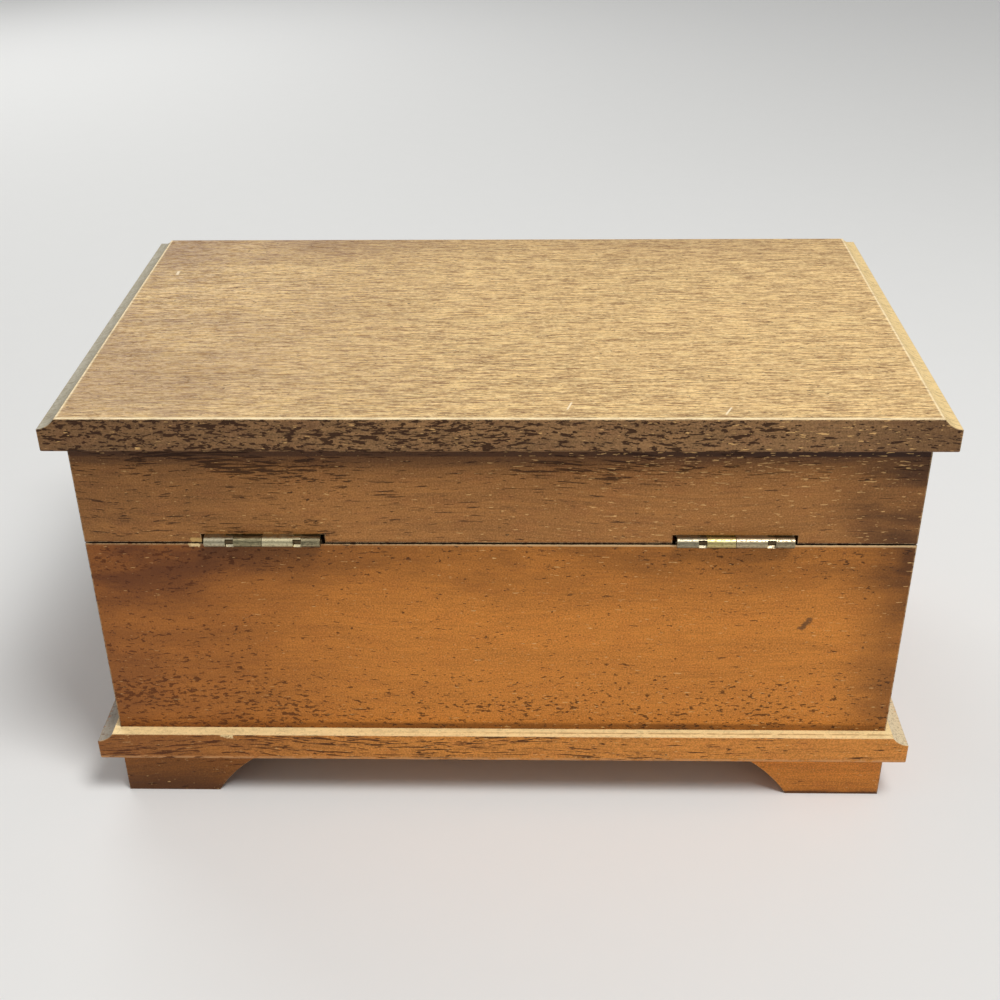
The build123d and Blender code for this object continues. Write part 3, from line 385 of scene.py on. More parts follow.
def wood(name, settings, run, base, ageing=None, contrast=0.6, pores=((2.4, 0.5, 0.2),), depth=0.85,
         banding=0.8, specks=0.1, gloss=None):
    """Old varnished wood: streaks and mottling along the grain, dirty pores, chips and worn edges.

    base is the varnished colour and contrast the strength of the streaks. pores holds a length and
    a width in millimetres and a share of the surface for each kind, depth is how far dirt darkens
    them, and banding how far they gather in bands. specks is the share of chips. ageing takes the
    finish, the settings and the point, and gives what differs from place to place: porous and
    chipped scale the pores and chips, dark is the share of grime and of painted shade, wear that of
    bare edges, and over holds pairs of a mask and the colour laid there.
    """
    finish = Finish(name, Specular_IOR_Level=0.22)
    place = finish.place()
    local = ageing(finish, settings, place) if ageing else {}
    porous = local.get("porous", 1.0)
    bent = finish.shifted(place, 1 / 55.0, 8.0, 1.0)
    fibre = settings.fibre_width / MM
    broad = finish.cloud(grain(finish, bent, run, along=60.0, across=9 * fibre), 3.0, 0.6)
    fine = finish.cloud(grain(finish, bent, run, along=14.0, across=1.5 * fibre), 4.0, 0.7)
    mottle = finish.cloud(grain(finish, bent, run, along=7.0, across=3.5), 3.0, 0.6)
    bands = finish.cloud(grain(finish, bent, run, along=40.0, across=7.0), 2.0)
    dust = finish.spots(place, 2.4, 1.0)
    ruddy = (base[0] * 0.72, base[1] * 0.55, base[2] * 0.6)

    spread_out = (bands.rise(0.3, 0.7) * 1.6 * banding + (1.0 - banding)) * porous
    pits = None
    for reach, thickness, portion in pores:
        kind = finish.marks(grain(finish, bent, run, 2.0 * reach, 2.0 * thickness), spread_out * portion)
        pits = kind if pits is None else pits.most(kind)
    chipped = local.get("chipped", 1.0) * (0.35 + 0.65 * porous) * specks
    chips = finish.marks(grain(finish, place, run, along=2.6, across=0.48), chipped, 0.04)
    edge, rounded = finish.worn(settings.arris)
    bare = edge.rise(0.015, 0.09) * finish.spots(place, 0.7, 4.0, 0.65).rise(0.40, 0.54)

    worn = settings.worn_tone
    layers = [
        (broad.rise(0.42, 0.62) * 0.7 * contrast, scaled(base, 0.55)),
        (fine.rise(0.5, 0.66) * contrast, scaled(base, 1.35)),
        (fine.rise(0.5, 0.34) * contrast, scaled(base, 0.5)),
        (mottle.rise(0.48, 0.66) * 0.5 * contrast, ruddy),
        (dust.rise(0.5, 0.7) * 0.4, tuple(1.4 * value + 0.03 for value in base)),
        (dust.rise(0.5, 0.3) * 0.4, scaled(base, 0.4)),
    ]
    # Grime, and painted shade where the ageing gives it
    if "dark" in local:
        layers.append((local["dark"], settings.grime_and_shade_tone))
    layers += [
        (pits * depth, settings.pore_tone),
        (chips * 0.85, (worn[0] * 0.95, worn[1] * 0.82, worn[2] * 0.6)),
        *local.get("over", ()),
        (bare * local.get("wear", 0.8), worn),
    ]
    dull = settings.gloss if gloss is None else gloss
    finish.give(Base_Color=finish.paint(base, *layers),
                Roughness=dull + (fine - 0.5) * 0.3 + pits * 0.3 + bare * 0.2,
                Normal=finish.bump(fine * 0.5 - pits + chips * 0.2, depth=0.08, direction=rounded))
    return finish.material


BRUSHED = {"X": (0.25, 9.0, 9.0), "Y": (9.0, 0.25, 9.0), "Z": (9.0, 9.0, 0.25), None: 3.0}


def metal(name, base, dirt, arris, roughness=0.34, tarnish=0.5, brushed=None, metallic=1.0):
    """Metal with tarnish in patches, fine scratches along one axis and bright worn edges."""
    finish = Finish(name)
    place = finish.place()
    patches = finish.spots(place, 0.42, 4.0, 0.6)
    spots = finish.spots(place, 2.6, 3.0, 0.6)
    lines = finish.spots(place, BRUSHED[brushed], 2.0, 0.6)
    edge, rounded = finish.worn(arris)
    shade = finish.paint(
        base,
        (patches.rise(0.4, 0.7) * tarnish, dirt),
        (spots.rise(0.56, 0.72) * tarnish, dirt),
        (edge.rise(0.02, 0.2) * 0.7, scaled(base, 1.35, 0.03)),
    )
    finish.give(Base_Color=shade, Metallic=metallic,
                Roughness=roughness + (lines - 0.5) * 0.25 + patches.rise(0.4, 0.75) * 0.2,
                Normal=finish.bump(lines * 0.6 + spots * 0.4, depth=0.02, direction=rounded))
    return finish.material


# Width of each knuckle from the +X end in millimetres, and its colour on each hinge. Two colours
# meet over the joint's width to each side of where the knuckles do
KNUCKLES = (7.1, 6.9, 9.4, 4.6)
KNUCKLE_JOINT = 0.05
KNUCKLE_TINTS = {
    "right": ((180, 172, 148), (116, 110, 84), (206, 196, 160), (120, 112, 88)),
    "left": ((132, 126, 110), (190, 174, 112), (172, 156, 128), (138, 124, 102)),
}


def hinge_brass(settings):
    """Aged brass that differs from knuckle to knuckle, yellow or grey, with dirt in blots, painted shade on
    the undersides and darker on top.
    """
    finish = Finish("hinge_brass", Metallic=1.0)
    place = finish.place()
    across = finish.split(place)[0]
    blots = finish.spots(place, (1.4, 1.8, 1.8), 4.0, 0.65)
    scratches = finish.spots(place, (0.4, 8.0, 8.0), 3.0, 0.65)
    edge, rounded = finish.worn(settings.arris)
    brass = settings.brass_tone
    dirt = settings.brass_dirt_and_shade
    layers = [(blots.rise(0.4, 0.6) * 0.4, settings.tarnish_tone)]
    for side, tints in KNUCKLE_TINTS.items():
        upper = box_mm("hinge_" + side + "_box_leaf")[1].x
        for width, tint in zip(KNUCKLES, tints):
            lower = upper - width
            knuckle = (across.rise(upper + KNUCKLE_JOINT, upper - KNUCKLE_JOINT)
                       * across.rise(lower - KNUCKLE_JOINT, lower + KNUCKLE_JOINT))
            layers.append((knuckle * 0.8, tone(*tint)))
            upper = lower
    upward = finish.facing()[2]
    shade = finish.paint(
        brass,
        *layers,
        (scratches.rise(0.5, 0.64) * 0.5, scaled(brass, 1.4)),
        (blots.rise(0.5, 0.62) * 0.35, dirt),
        # Painted shade on the undersides of the knuckles, and darker on their tops
        (upward.rise(-0.3, -0.8).most(upward.rise(0.8, 1.0) * 0.4) * 0.8, dirt),
        (edge.rise(0.02, 0.15) * 0.6, scaled(brass, 1.5)),
    )
    finish.give(Base_Color=shade, Roughness=0.30 + blots.rise(0.45, 0.62) * 0.25 + (scratches - 0.5) * 0.3,
                Normal=finish.bump(scratches * 0.6 - blots * 0.4, depth=0.02, direction=rounded))
    return finish.material


def velvet(name, settings):
    """Short pile that looks darker where it is brushed one way."""
    finish = Finish(name, Specular_IOR_Level=0.2, Sheen_Weight=0.6, Sheen_Roughness=0.4,
                    Sheen_Tint=(*settings.velvet_sheen, 1.0))
    place = finish.place()
    pile = finish.spots(place, 1 / (settings.pile / MM), 3.0, 0.6)
    brushed = finish.spots(place, (0.07, 0.11, 0.09), 3.0, 0.55)
    dust = finish.spots(place, 1.1, 4.0, 0.7)
    shade = finish.paint(
        settings.velvet_tone,
        (brushed.rise(0.38, 0.62) * 0.75, scaled(settings.velvet_tone, 0.5)),
        (pile.rise(0.5, 0.8) * 0.5, settings.velvet_sheen),
        (dust.rise(0.66, 0.78) * 0.25, PALE_DUST),
    )
    finish.give(Base_Color=shade, Roughness=0.85 + pile * 0.12, Normal=finish.bump(pile, depth=0.12))
    return finish.material


# Single marks in millimetres: two ends and a width. The ends of the lid's scratches are x and y on
# its top. Those of the marks on the back are x and a height: over the floor for the stain, and over
# the top of the base board, the foot of the rail and the top of the wall for the chips

LID_SCRATCHES = (
    ((92.1, -30.6), (92.1, -27.6), 0.55),
    ((-16.0, 56.8), (-17.2, 52.7), 0.3),
    ((-51.6, 59.2), (-53.5, 55.2), 0.3),
)
BASE_CHIP = ((72.8, 0.0), (69.4, -0.2), 1.2)
RAIL_CHIP = ((74.3, 0.7), (70.8, 0.4), 0.8)
WALL_CHIP = ((74.8, 0.0), (71.8, -0.5), 0.7)
WALL_STAIN = ((-77.2, 57.6), (-74.4, 53.8), 0.9)

LID_COVE = 4.4      # width of the moulding along the lid's ends


# What differs from place to place on the wood. The walls and rails end at x = -100 and x = 100

def lid_ageing(finish, settings, place, high):
    """The lid board: a streaked top, bleached and painted paler for its sheen, coves grey with a painted
    reflection, and dark, porous edges.
    """
    x, y, z = finish.split(place)
    facing = finish.facing()
    flat = high.x - LID_COVE
    # Bleached, and painted paler for the sheen
    pale = settings.top_bleach_and_sheen_tone
    streaks = finish.spots(place, (1 / 5.5, 1 / 0.42, 1.0), 4.0, 0.75)
    swirls = finish.spots(place, (1 / 40.0, 1 / 4.0, 1.0), 3.0, 0.6)
    stains = finish.spots(place, (1 / 45.0, 1 / 26.0, 1.0), 3.0, 0.6)
    flecks = finish.spots(place, (1.0, 2.2, 1.0), 2.0, 0.6)
    glints = finish.marks(finish.stretch(place, (1 / 12.0, 1 / 0.5, 1.0)), 0.12, 0.05)
    dots = finish.marks(finish.stretch(place, (1 / 1.6, 1 / 1.1, 1.0)), 0.02)
    lively = 1.0 - 0.25 * x.rise(0.0, 90.0) * y.rise(-10.0, 45.0)
    # Cool, darker stains towards +X and the front of the top, towards +X partly painted shade
    cool_stain_and_shade = x.rise(-10.0, 100.0) * 0.42 + y.rise(-20.0, -58.0) * 0.3
    end_rim = abs(x).rise(flat - 0.7, flat - 0.2) * abs(x).rise(flat + 0.4, flat)
    rim = y.rise(high.y - 1.3, high.y - 0.7).most(end_rim)
    scratches = []
    for start, end, width in LID_SCRATCHES:
        scratch = finish.scar(place, (*start, high.z), (*end, high.z), width)
        scratches.append((scratch * 0.9, BARE_SCRATCH))
    top = finish.paint(
        pale,
        (swirls.rise(0.42, 0.62) * 0.4, scaled(pale, 0.62)),
        (streaks.rise(0.5, 0.59) * 0.9 * lively, LIGHT_STREAK),
        (streaks.rise(0.49, 0.40) * 0.85 * lively, DARK_STREAK),
        (flecks.rise(0.52, 0.68) * 0.5 * lively, LIGHT_FLECK),
        (flecks.rise(0.48, 0.32) * 0.45 * lively, DARK_FLECK),
        (glints * 0.6 * lively, GLINT),
        ((cool_stain_and_shade * stains.rise(0.2, 0.6)).least(0.6), COOL_STAIN_AND_SHADE),
        (dots * 0.6, settings.pore_tone),
        (rim * streaks.rise(0.3, 0.5) * 0.9, BARE_RIM),
        *scratches,
    )
    # Painted reflection of the pale surroundings, grey, in the cove at the +X end; tan at the -X end
    cove = finish.paint(
        settings.cove_grey_and_reflection_tone,
        (x.rise(60.0, -60.0), TAN_COVE),
        (streaks.rise(0.5, 0.36) * 0.6, COVE_STREAK),
    )
    on_top = facing[2].rise(0.93, 0.97) * z.above(high.z - 0.5)
    return {
        "porous": 0.6 + 0.4 * x.rise(-85.0, -25.0),
        "chipped": 0.5 + 1.5 * x.rise(-20.0, -70.0),
        # Edges darker towards both ends: grime, and partly painted shade
        "dark": (x.rise(20.0, 90.0) * 0.3).most(x.rise(-70.0, -100.0) * 0.4),
        "over": [(facing[2].rise(0.25, 0.45), cove), (on_top, top)],
    }


def base_ageing(finish, settings, place, low, high):
    """The base board: bare, pale wood along its upper side, ruddier and darker towards +X, the darkening
    partly painted shade.
    """
    x, y, z = finish.split(place)
    facing = finish.facing()
    pale = settings.ledge_tone
    ragged = finish.spots(place, (0.35, 0.9, 0.9), 3.0, 0.6)
    grains = finish.spots(place, 1.5, 2.0, 0.6)
    line = abs(y - (high.y - 1.5)).rise(0.35, 0.1) * x.rise(50.0, -30.0) * ragged.rise(0.35, 0.5)
    ledge = finish.paint(
        pale,
        (ragged.rise(0.5, 0.64) * 0.35, scaled(pale, 0.62)),
        (grains.rise(0.52, 0.66) * 0.45, scaled(pale, 0.6)),
        (line * 0.6, SCRIBED_LINE),
    )
    # Painted reflection of the pale surroundings, grey, in the cove towards +X
    cove = finish.paint(
        PALE_COVE,
        (x.rise(-60.0, 60.0), COVE_REFLECTION_GREY),
        (y.rise(high.y - 60.0, low.y + 2.0), FRONT_COVE),
        (grains.rise(0.5, 0.66) * 0.5, COVE_GRAIN),
    )
    level = z + (ragged - 0.5) * 3.0
    in_cove = facing[2].rise(0.1, 0.4) * level.rise(high.z - 2.9, high.z - 2.4)
    on_top = facing[2].rise(0.96, 0.985) * z.above(high.z - 0.5)
    lower_arris = z.rise(low.z + 1.5, low.z + 0.9) * ragged.rise(0.38, 0.5)
    return {
        "porous": 0.45 + 0.75 * x.rise(-95.0, -20.0),
        # Darker towards +X: grime, and partly painted shade
        "dark": x.rise(30.0, 105.0) * 0.5,
        "over": [
            (x.rise(10.0, 95.0) * 0.25, RUDDY_VARNISH),
            (lower_arris * 0.7, RUBBED_ARRIS),
            (in_cove, cove),
            (on_top.most(finish.chip(place, BASE_CHIP, high.y, high.z, 2.0)), ledge),
        ],
    }


def rail_ageing(finish, settings, place, low, high, back, hinge_x):
    """The rails of the lid: dirty pores, painted shadow under the lid board, darker ends, and painted shade
    in the mortises and along the seam.
    """
    x, y, z = finish.split(place)
    cloudy = finish.spots(place, (1 / 24.0, 1 / 24.0, 1 / 9.0), 3.0, 0.6)
    # Painted shadow of the lid board's overhang on the rails, darkest in the gap just under it, with some
    # dirt
    gap = z.rise(high - 4.6, high - 3.2) * (0.85 + 0.15 * x.rise(0.0, -90.0))
    lid_shadow_and_dirt = (z.rise(high - 8.0, high - 4.0) * 0.6).most(gap)
    # Darker towards both ends, most at -X: grime, and partly painted shade
    ends = x.rise(20.0, 100.0) * 0.32 + x.rise(-70.0, -97.0) * 0.8
    # Painted shade, with some dirt, along the foot of the rails at the seam
    seam = z.rise(low + 0.5, low + 0.1) * 0.8
    # Painted shade inside the hinge mortises at the back of the rails
    inside = z.rise(low + 2.6, low + 2.2) * y.rise(back - 0.05, back - 0.1) * y.above(back - 6.0)
    in_mortise = abs(abs(x) - hinge_x).rise(15.0, 14.6) * inside
    by_lid = z.rise(high - 14.0, high - 5.0)
    return {
        "porous": 0.2 + 0.8 * by_lid + 0.3 * x.rise(-85.0, -25.0) + 0.3 * x.rise(0.0, 60.0),
        "chipped": 0.3 + 1.7 * x.rise(10.0, -50.0),
        "dark": (ends * (0.4 + 0.6 * cloudy.rise(0.35, 0.6))).most(lid_shadow_and_dirt).most(seam),
        "over": [
            (in_mortise * 0.85, MORTISE_SHADE),
            (finish.chip(place, RAIL_CHIP, back, low, 1.0) * 0.8, RAW_CHIP),
        ],
    }


def wall_ageing(finish, settings, place, low, high, back=None):
    """Walls: pores low down and along the seam, darker ends, painted shade below the lid, and on the wall
    that has a back painted shade in the seam's gap and marks.
    """
    x, y, z = finish.split(place)
    facing = finish.facing()
    cloudy = finish.spots(place, (1 / 30.0, 1 / 30.0, 1 / 12.0), 3.0, 0.6)
    # Darker at both ends, most at +X: grime, and partly painted shade
    ends = x.rise(25.0, 98.0) * 0.52 + x.rise(-82.0, -99.0) * 0.55
    # Painted shade below the lid: the walls darker towards their top
    shade_below_seam = z.rise(high - 24.0, high - 3.0) * 0.48
    foot = z.rise(low + 2.6, low + 1.3) * (0.25 + 0.7 * cloudy)
    rubbed = abs(facing[1]).above(0.7) * (0.1 + 0.6 * x.rise(50.0, -40.0))
    over = [
        (x.rise(10.0, 95.0) * 0.3, RUDDY_VARNISH),
        (z.rise(high - 0.6, high - 0.35) * rubbed, settings.worn_tone),
    ]
    if back is not None:
        # Painted shade: the top of the back wall dark where it lies in the seam's gap
        seam = facing[2].above(0.8) * y.rise(back - 2.4, back - 1.4)
        over += [
            (seam, SEAM_SHADE),
            (finish.chip(place, WALL_STAIN, back, 0.0, 1.0) * 0.7, OLD_STAIN),
            (finish.chip(place, WALL_CHIP, back, high, 1.0) * 0.85, settings.ledge_tone),
        ]
    low_down = z.rise(low + 24.0, low + 6.0)
    return {
        "porous": 0.15 + low_down + 0.5 * z.rise(high - 12.0, high - 3.0) + 0.7 * x.rise(25.0, 90.0),
        "chipped": 0.5 + 1.2 * x.rise(40.0, -40.0),
        "dark": ((ends + shade_below_seam) * (0.55 + 0.45 * cloudy.rise(0.35, 0.6))).most(foot).least(0.85),
        "over": over,
    }


def foot_ageing(finish, settings, place, low, high):
    """Feet: darker towards the floor and towards +X."""
    x, y, z = finish.split(place)
    scuffs = finish.spots(place, (0.2, 0.2, 0.6), 3.0, 0.6)
    low_down = z.rise(high - 3.0, low) * 0.3 + z.rise(low + 2.2, low) * scuffs.rise(0.35, 0.6) * 0.5
    edge = z.rise(low + 1.0, low + 0.3) * 0.5
    return {
        "porous": 0.4 + x.rise(0.0, 95.0),
        # Darker towards +X: grime, and partly painted shade
        "dark": (low_down + edge + x.rise(-20.0, 95.0) * 0.64).least(0.9),
        "wear": 0.5,
    }


# Meshes

WELD = 0.01 * MM


def placed(name, data):
    """A new object in the scene that holds this mesh, lamp or camera."""
    made = bpy.data.objects.new(name, data)
    bpy.context.scene.collection.objects.link(made)
    return made


def new_mesh(name, points, faces, smooth=True):
    mesh = bpy.data.meshes.new(name)
    mesh.from_pydata([tuple(point) for point in points], [], faces)
    for polygon in mesh.polygons:
        polygon.use_smooth = smooth
    return mesh


def new_piece(name, points, faces, material, body, slot_name, node, smooth=True, weld=False):
    """A mesh object in place, riding on its body and standing for its CAD node.

    weld joins points that lie on each other, such as a panel's face and back along its rim.
    """
    mesh = new_mesh(name, points, faces, smooth)
    mesh.validate()
    mesh.materials.append(material)
    work = bmesh.new()
    work.from_mesh(mesh)
    if weld:
        bmesh.ops.remove_doubles(work, verts=work.verts, dist=WELD)
    bmesh.ops.recalc_face_normals(work, faces=work.faces)
    work.to_mesh(mesh)
    work.free()
    piece = placed(name, mesh)
    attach(piece, body)
    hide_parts(node)
    return piece


def quads(rows, count, around=False):
    """Faces between rows of so many points each; around also joins a row's last point to its first."""
    faces = []
    for row in range(rows - 1):
        near = row * count
        far = near + count
        for step in range(count if around else count - 1):
            after = (step + 1) % count
            faces.append((near + step, near + after, far + after, far + step))
    return faces


def spread(size, rim, spans, steps):
    """Places across a pad: so many steps round each rim, close together at first, and even spans between."""
    turn = [rim * (1 - math.cos(math.pi / 2 * index / steps)) for index in range(steps)]
    flat = [rim + (size - 2 * rim) * index / spans for index in range(spans + 1)]
    return turn + flat + [size - value for value in reversed(turn)]


def covered_panel(origin, along, up, out, size, rim, crown, wrinkle, step=math.inf):
    """A closed, padded panel: flat behind, with a rounded rim and a crowned, slightly wavy face.

    size is its width, height and thickness with the crown. Its face has a point about every step, and
    two spans each way where that is more. Returns points and faces.
    """
    width, height, thickness = size
    us, vs = [spread(side, rim, max(2, round((side - 2 * rim) / step)), 5) for side in (width, height)]

    def rise(u, v):
        near = min(u, width - u, v, height - v)
        inward = min(near, rim) / rim
        lift = (thickness - crown) * math.sqrt(max(0.0, 1 - (1 - inward) ** 2))
        bow = 4 * u * (width - u) / width ** 2 * 4 * v * (height - v) / height ** 2
        ripple = noise.noise(Vector((u, v, width)) / (9 * MM)) * wrinkle * inward
        return lift + crown * bow ** 0.5 + ripple - wrinkle * inward

    face = [origin + along * u + up * v + out * rise(u, v) for v in vs for u in us]
    back = [origin + along * u + up * v for v in vs for u in us]
    faces = []
    for quad in quads(len(vs), len(us)):
        faces.append(quad)
        faces.append(tuple(len(face) + index for index in reversed(quad)))
    return face + back, faces


def joined(parts):
    """Several (points, faces) as one."""
    points = []
    faces = []
    for more_points, more_faces in parts:
        start = len(points)
        points.extend(more_points)
        faces.extend([tuple(start + index for index in face) for face in more_faces])
    return points, faces


def apply_modifiers(piece):
    """Makes a piece's mesh what its modifiers show."""
    bpy.context.view_layer.update()
    shown = piece.evaluated_get(bpy.context.evaluated_depsgraph_get())
    mesh = bpy.data.meshes.new_from_object(shown)
    piece.modifiers.clear()
    piece.data = mesh


def lying_pad(name, node, pile, rim, crown, wrinkle, step):
    """A padded panel that lies face up in the case and fills the box of the node that it stands for."""
    low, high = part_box(node)
    part = covered_panel(low, X, Y, Z, high - low, rim * MM, crown * MM, wrinkle * MM, step * MM)
    return new_piece(name, *part, pile, "case", "velvet", node, weld=True)


def dress(names, material):
    """Gives carried-over CAD nodes a material."""
    for name in names:
        materials = NODES[name].data.materials
        if not materials:
            materials.append(material)
        for index in range(len(materials)):
            materials[index] = material


# The pieces

class Builder:
    """What every operator here shares."""
    bl_options = {"REGISTER", "UNDO"}


class JEWELRYBOX_OT_stage(Builder, bpy.types.Operator):
    """Pale floor and backdrop, soft lamps, and the camera behind the box and above it"""
    bl_idname = "jewelry_box.stage"
    bl_label = "Stage"

    def execute(self, context):
        settings = context.scene.box_stage
        self.floor(settings)
        self.even_light(context, settings.sky_strength)
        self.lamp("key_lamp", Vector((-0.36, 0.41, 1.12)), size=0.4, watts=settings.key_power)
        self.lamp("fill_lamp", Vector((0.5, -0.8, 0.6)), size=0.7, watts=settings.fill_power)
        self.camera(context, settings.lens)
        context.scene.view_settings.view_transform = "Standard"
        return {"FINISHED"}

    def floor(self, settings):
        """A round floor that curves up into a backdrop on every side and grows paler away from the box."""
        reach = 4.5
        bend = 2.6
        steps = 24
        sectors = 64
        finish = Finish("pale_floor", Roughness=0.9, Specular_IOR_Level=0.1)
        place = finish.place()
        fine = finish.spots(place, 0.08, 3.0)
        distance = finish.vectors("LENGTH", place, output="Value")
        pale = settings.floor_tone
        finish.give(Base_Color=finish.paint(
            pale,
            (fine.rise(0.3, 0.7) * 0.04, scaled(pale, 0.9)),
            (distance.rise(500.0, 1600.0), FAR_FLOOR),
        ))
        points = [(0.0, 0.0, 0.0)]
        for index in range(steps + 1):
            turn = math.pi / 2 * index / steps
            radius = reach - bend + bend * math.sin(turn)
            rise = bend - bend * math.cos(turn)
            for sector in range(sectors):
                angle = 2 * math.pi * sector / sectors
                points.append((radius * math.cos(angle), radius * math.sin(angle), rise))
        faces = [(0, 1 + sector, 1 + (sector + 1) % sectors) for sector in range(sectors)]
        for quad in quads(steps + 1, sectors, around=True):
            faces.append(tuple(1 + index for index in reversed(quad)))
        mesh = new_mesh("floor", points, faces)
        mesh.materials.append(finish.material)
        placed("floor", mesh)

    def even_light(self, context, strength):
        """The object is lit by the even light; the camera, metal and glass see a nearly white one."""
        seen_strength = 0.9
        world = bpy.data.worlds.new("even_light")
        world.use_nodes = True
        graph = Graph(world.node_tree)
        rays = graph.node("ShaderNodeLightPath").socket.node
        camera, glossy, through = [Wire(graph, rays.outputs[f"Is {kind} Ray"])
                                   for kind in ("Camera", "Glossy", "Transmission")]
        seen = camera.most(glossy).most(through)
        sky = world.node_tree.nodes["Background"]
        graph.feed(sky.inputs["Color"], (1.0, 1.0, 1.0))
        graph.feed(sky.inputs["Strength"], strength + seen * (seen_strength - strength))
        context.scene.world = world

    def lamp(self, name, place, size, watts):
        """A square lamp that points at the middle of the box."""
        data = bpy.data.lights.new(name, "AREA")
        data.shape = "SQUARE"
        data.size = size
        data.energy = watts
        lamp = placed(name, data)
        lamp.location = place
        lamp.rotation_euler = (Vector((0.0, 0.0, 0.06)) - place).to_track_quat("-Z", "Y").to_euler()

    def camera(self, context, lens):
        """The camera, from a fit to the box's edges: its place in millimetres, its aim and its roll."""
        place = Vector((-7.96, 334.26, 254.32))
        forward = Vector((0.02301, -0.86140, -0.50738)).normalized()
        level = Vector((-0.99964, -0.02670, 0.0)).normalized()
        roll = math.radians(-0.67)
        data = bpy.data.cameras.new("view")
        data.sensor_fit = "HORIZONTAL"
        data.sensor_width = 36.0
        data.lens = lens
        data.clip_start = 0.01
        data.clip_end = 20.0
        camera = placed("view", data)
        upright = level.cross(forward)
        right = math.cos(roll) * level + math.sin(roll) * upright
        up = -math.sin(roll) * level + math.cos(roll) * upright
        turn = Matrix((right, up, -forward)).transposed()
        camera.matrix_world = Matrix.Translation(place * MM) @ turn.to_4x4()
        context.scene.camera = camera


class JEWELRYBOX_OT_case_wood(Builder, bpy.types.Operator):
    """Walls, base board, bracket feet and glue blocks"""
    bl_idname = "jewelry_box.case_wood"
    bl_label = "Case wood"

    def execute(self, context):
        settings = context.scene.box_wood
        low, high = box_mm("wall_back")
        for name, run in (("wall_front", "X"), ("wall_back", "X"), ("wall_left", "Y"), ("wall_right", "Y")):
            back = high.y if name == "wall_back" else None
            ageing = partial(wall_ageing, low=low.z, high=high.z, back=back)
            dress([name], wood(name, settings, run, settings.body_tone, ageing, contrast=0.3,
                               pores=((0.9, 0.38, 0.22), (2.2, 0.32, 0.05)), depth=0.75, banding=0.4,
                               specks=0.035))
        board_low, board_high = box_mm("base_board")
        ageing = partial(base_ageing, low=board_low, high=board_high)
        dress(["base_board"], wood("base_board", settings, "X", settings.base_tone, ageing, contrast=0.5,
                                   pores=((4.0, 0.3, 0.24), (1.6, 0.3, 0.14)), banding=0.6, specks=0.03))
        foot_low, foot_high = box_mm("foot_back_left")
        ageing = partial(foot_ageing, low=foot_low.z, high=foot_high.z)
        feet = ["foot_front_left", "foot_front_right", "foot_back_left", "foot_back_right", "foot_blocks"]
        dress(feet, wood("feet", settings, "wrap", settings.foot_tone, ageing, contrast=0.4,
                         pores=((3.0, 0.4, 0.12),), depth=0.6, specks=0.03))
        return {"FINISHED"}


class JEWELRYBOX_OT_lid_wood(Builder, bpy.types.Operator):
    """Lid board and the four rails under it"""
    bl_idname = "jewelry_box.lid_wood"
    bl_label = "Lid wood"

    def execute(self, context):
        settings = context.scene.box_wood
        low, high = box_mm("lid_rail_back")
        hinge_low, hinge_high = box_mm("hinge_left_lid_leaf")
        hinge_x = abs(hinge_low.x + hinge_high.x) / 2
        ageing = partial(rail_ageing, low=low.z, high=high.z, back=high.y, hinge_x=hinge_x)
        for sides, run in ((("front", "back"), "X"), (("left", "right"), "Y")):
            dress(["lid_rail_" + side for side in sides],
                  wood("rails_" + run, settings, run, settings.rail_tone, ageing, contrast=0.45,
                       pores=((5.0, 0.28, 0.2), (2.0, 0.3, 0.1)), depth=0.8, specks=0.09))
        ageing = partial(lid_ageing, high=box_mm("lid_board")[1])
        dress(["lid_board"], wood("lid_board", settings, "X", settings.lid_edge_tone, ageing,
                                  pores=((1.9, 0.45, 0.34), (0.9, 0.3, 0.32)), depth=0.9, banding=0.2,
                                  specks=0.07, gloss=0.5))
        return {"FINISHED"}


class JEWELRYBOX_OT_dividers(Builder, bpy.types.Operator):
    """Wooden dividers and the ledges under the clear cover"""
    bl_idname = "jewelry_box.dividers"
    bl_label = "Dividers"

    def execute(self, context):
        settings = context.scene.box_wood
        for names, run in ((("divider_long", "cover_ledges"), "X"), (("divider_cross",), "Y")):
            dress(names, wood("dividers_" + run, settings, run, settings.inside_tone, contrast=0.4))
        return {"FINISHED"}


class JEWELRYBOX_OT_hinges(Builder, bpy.types.Operator):
    """Hinge leaves, pins and their screws"""
    bl_idname = "jewelry_box.hinges"
    bl_label = "Hinges"

    def execute(self, context):
        settings = context.scene.box_metal
        dirt = settings.brass_dirt_and_shade
        leaves = [f"hinge_{side}_{half}_leaf" for side in ("left", "right") for half in ("box", "lid")]
        dress(leaves, hinge_brass(settings))
        dress(["hinge_left_pin", "hinge_right_pin"],
              metal("pin_steel", PIN_STEEL, dirt, settings.arris, roughness=0.45))
        dress(["box_leaf_screws", "lid_leaf_screws"],
              metal("screw_brass", settings.wheel_tone, dirt, settings.arris))
        return {"FINISHED"}


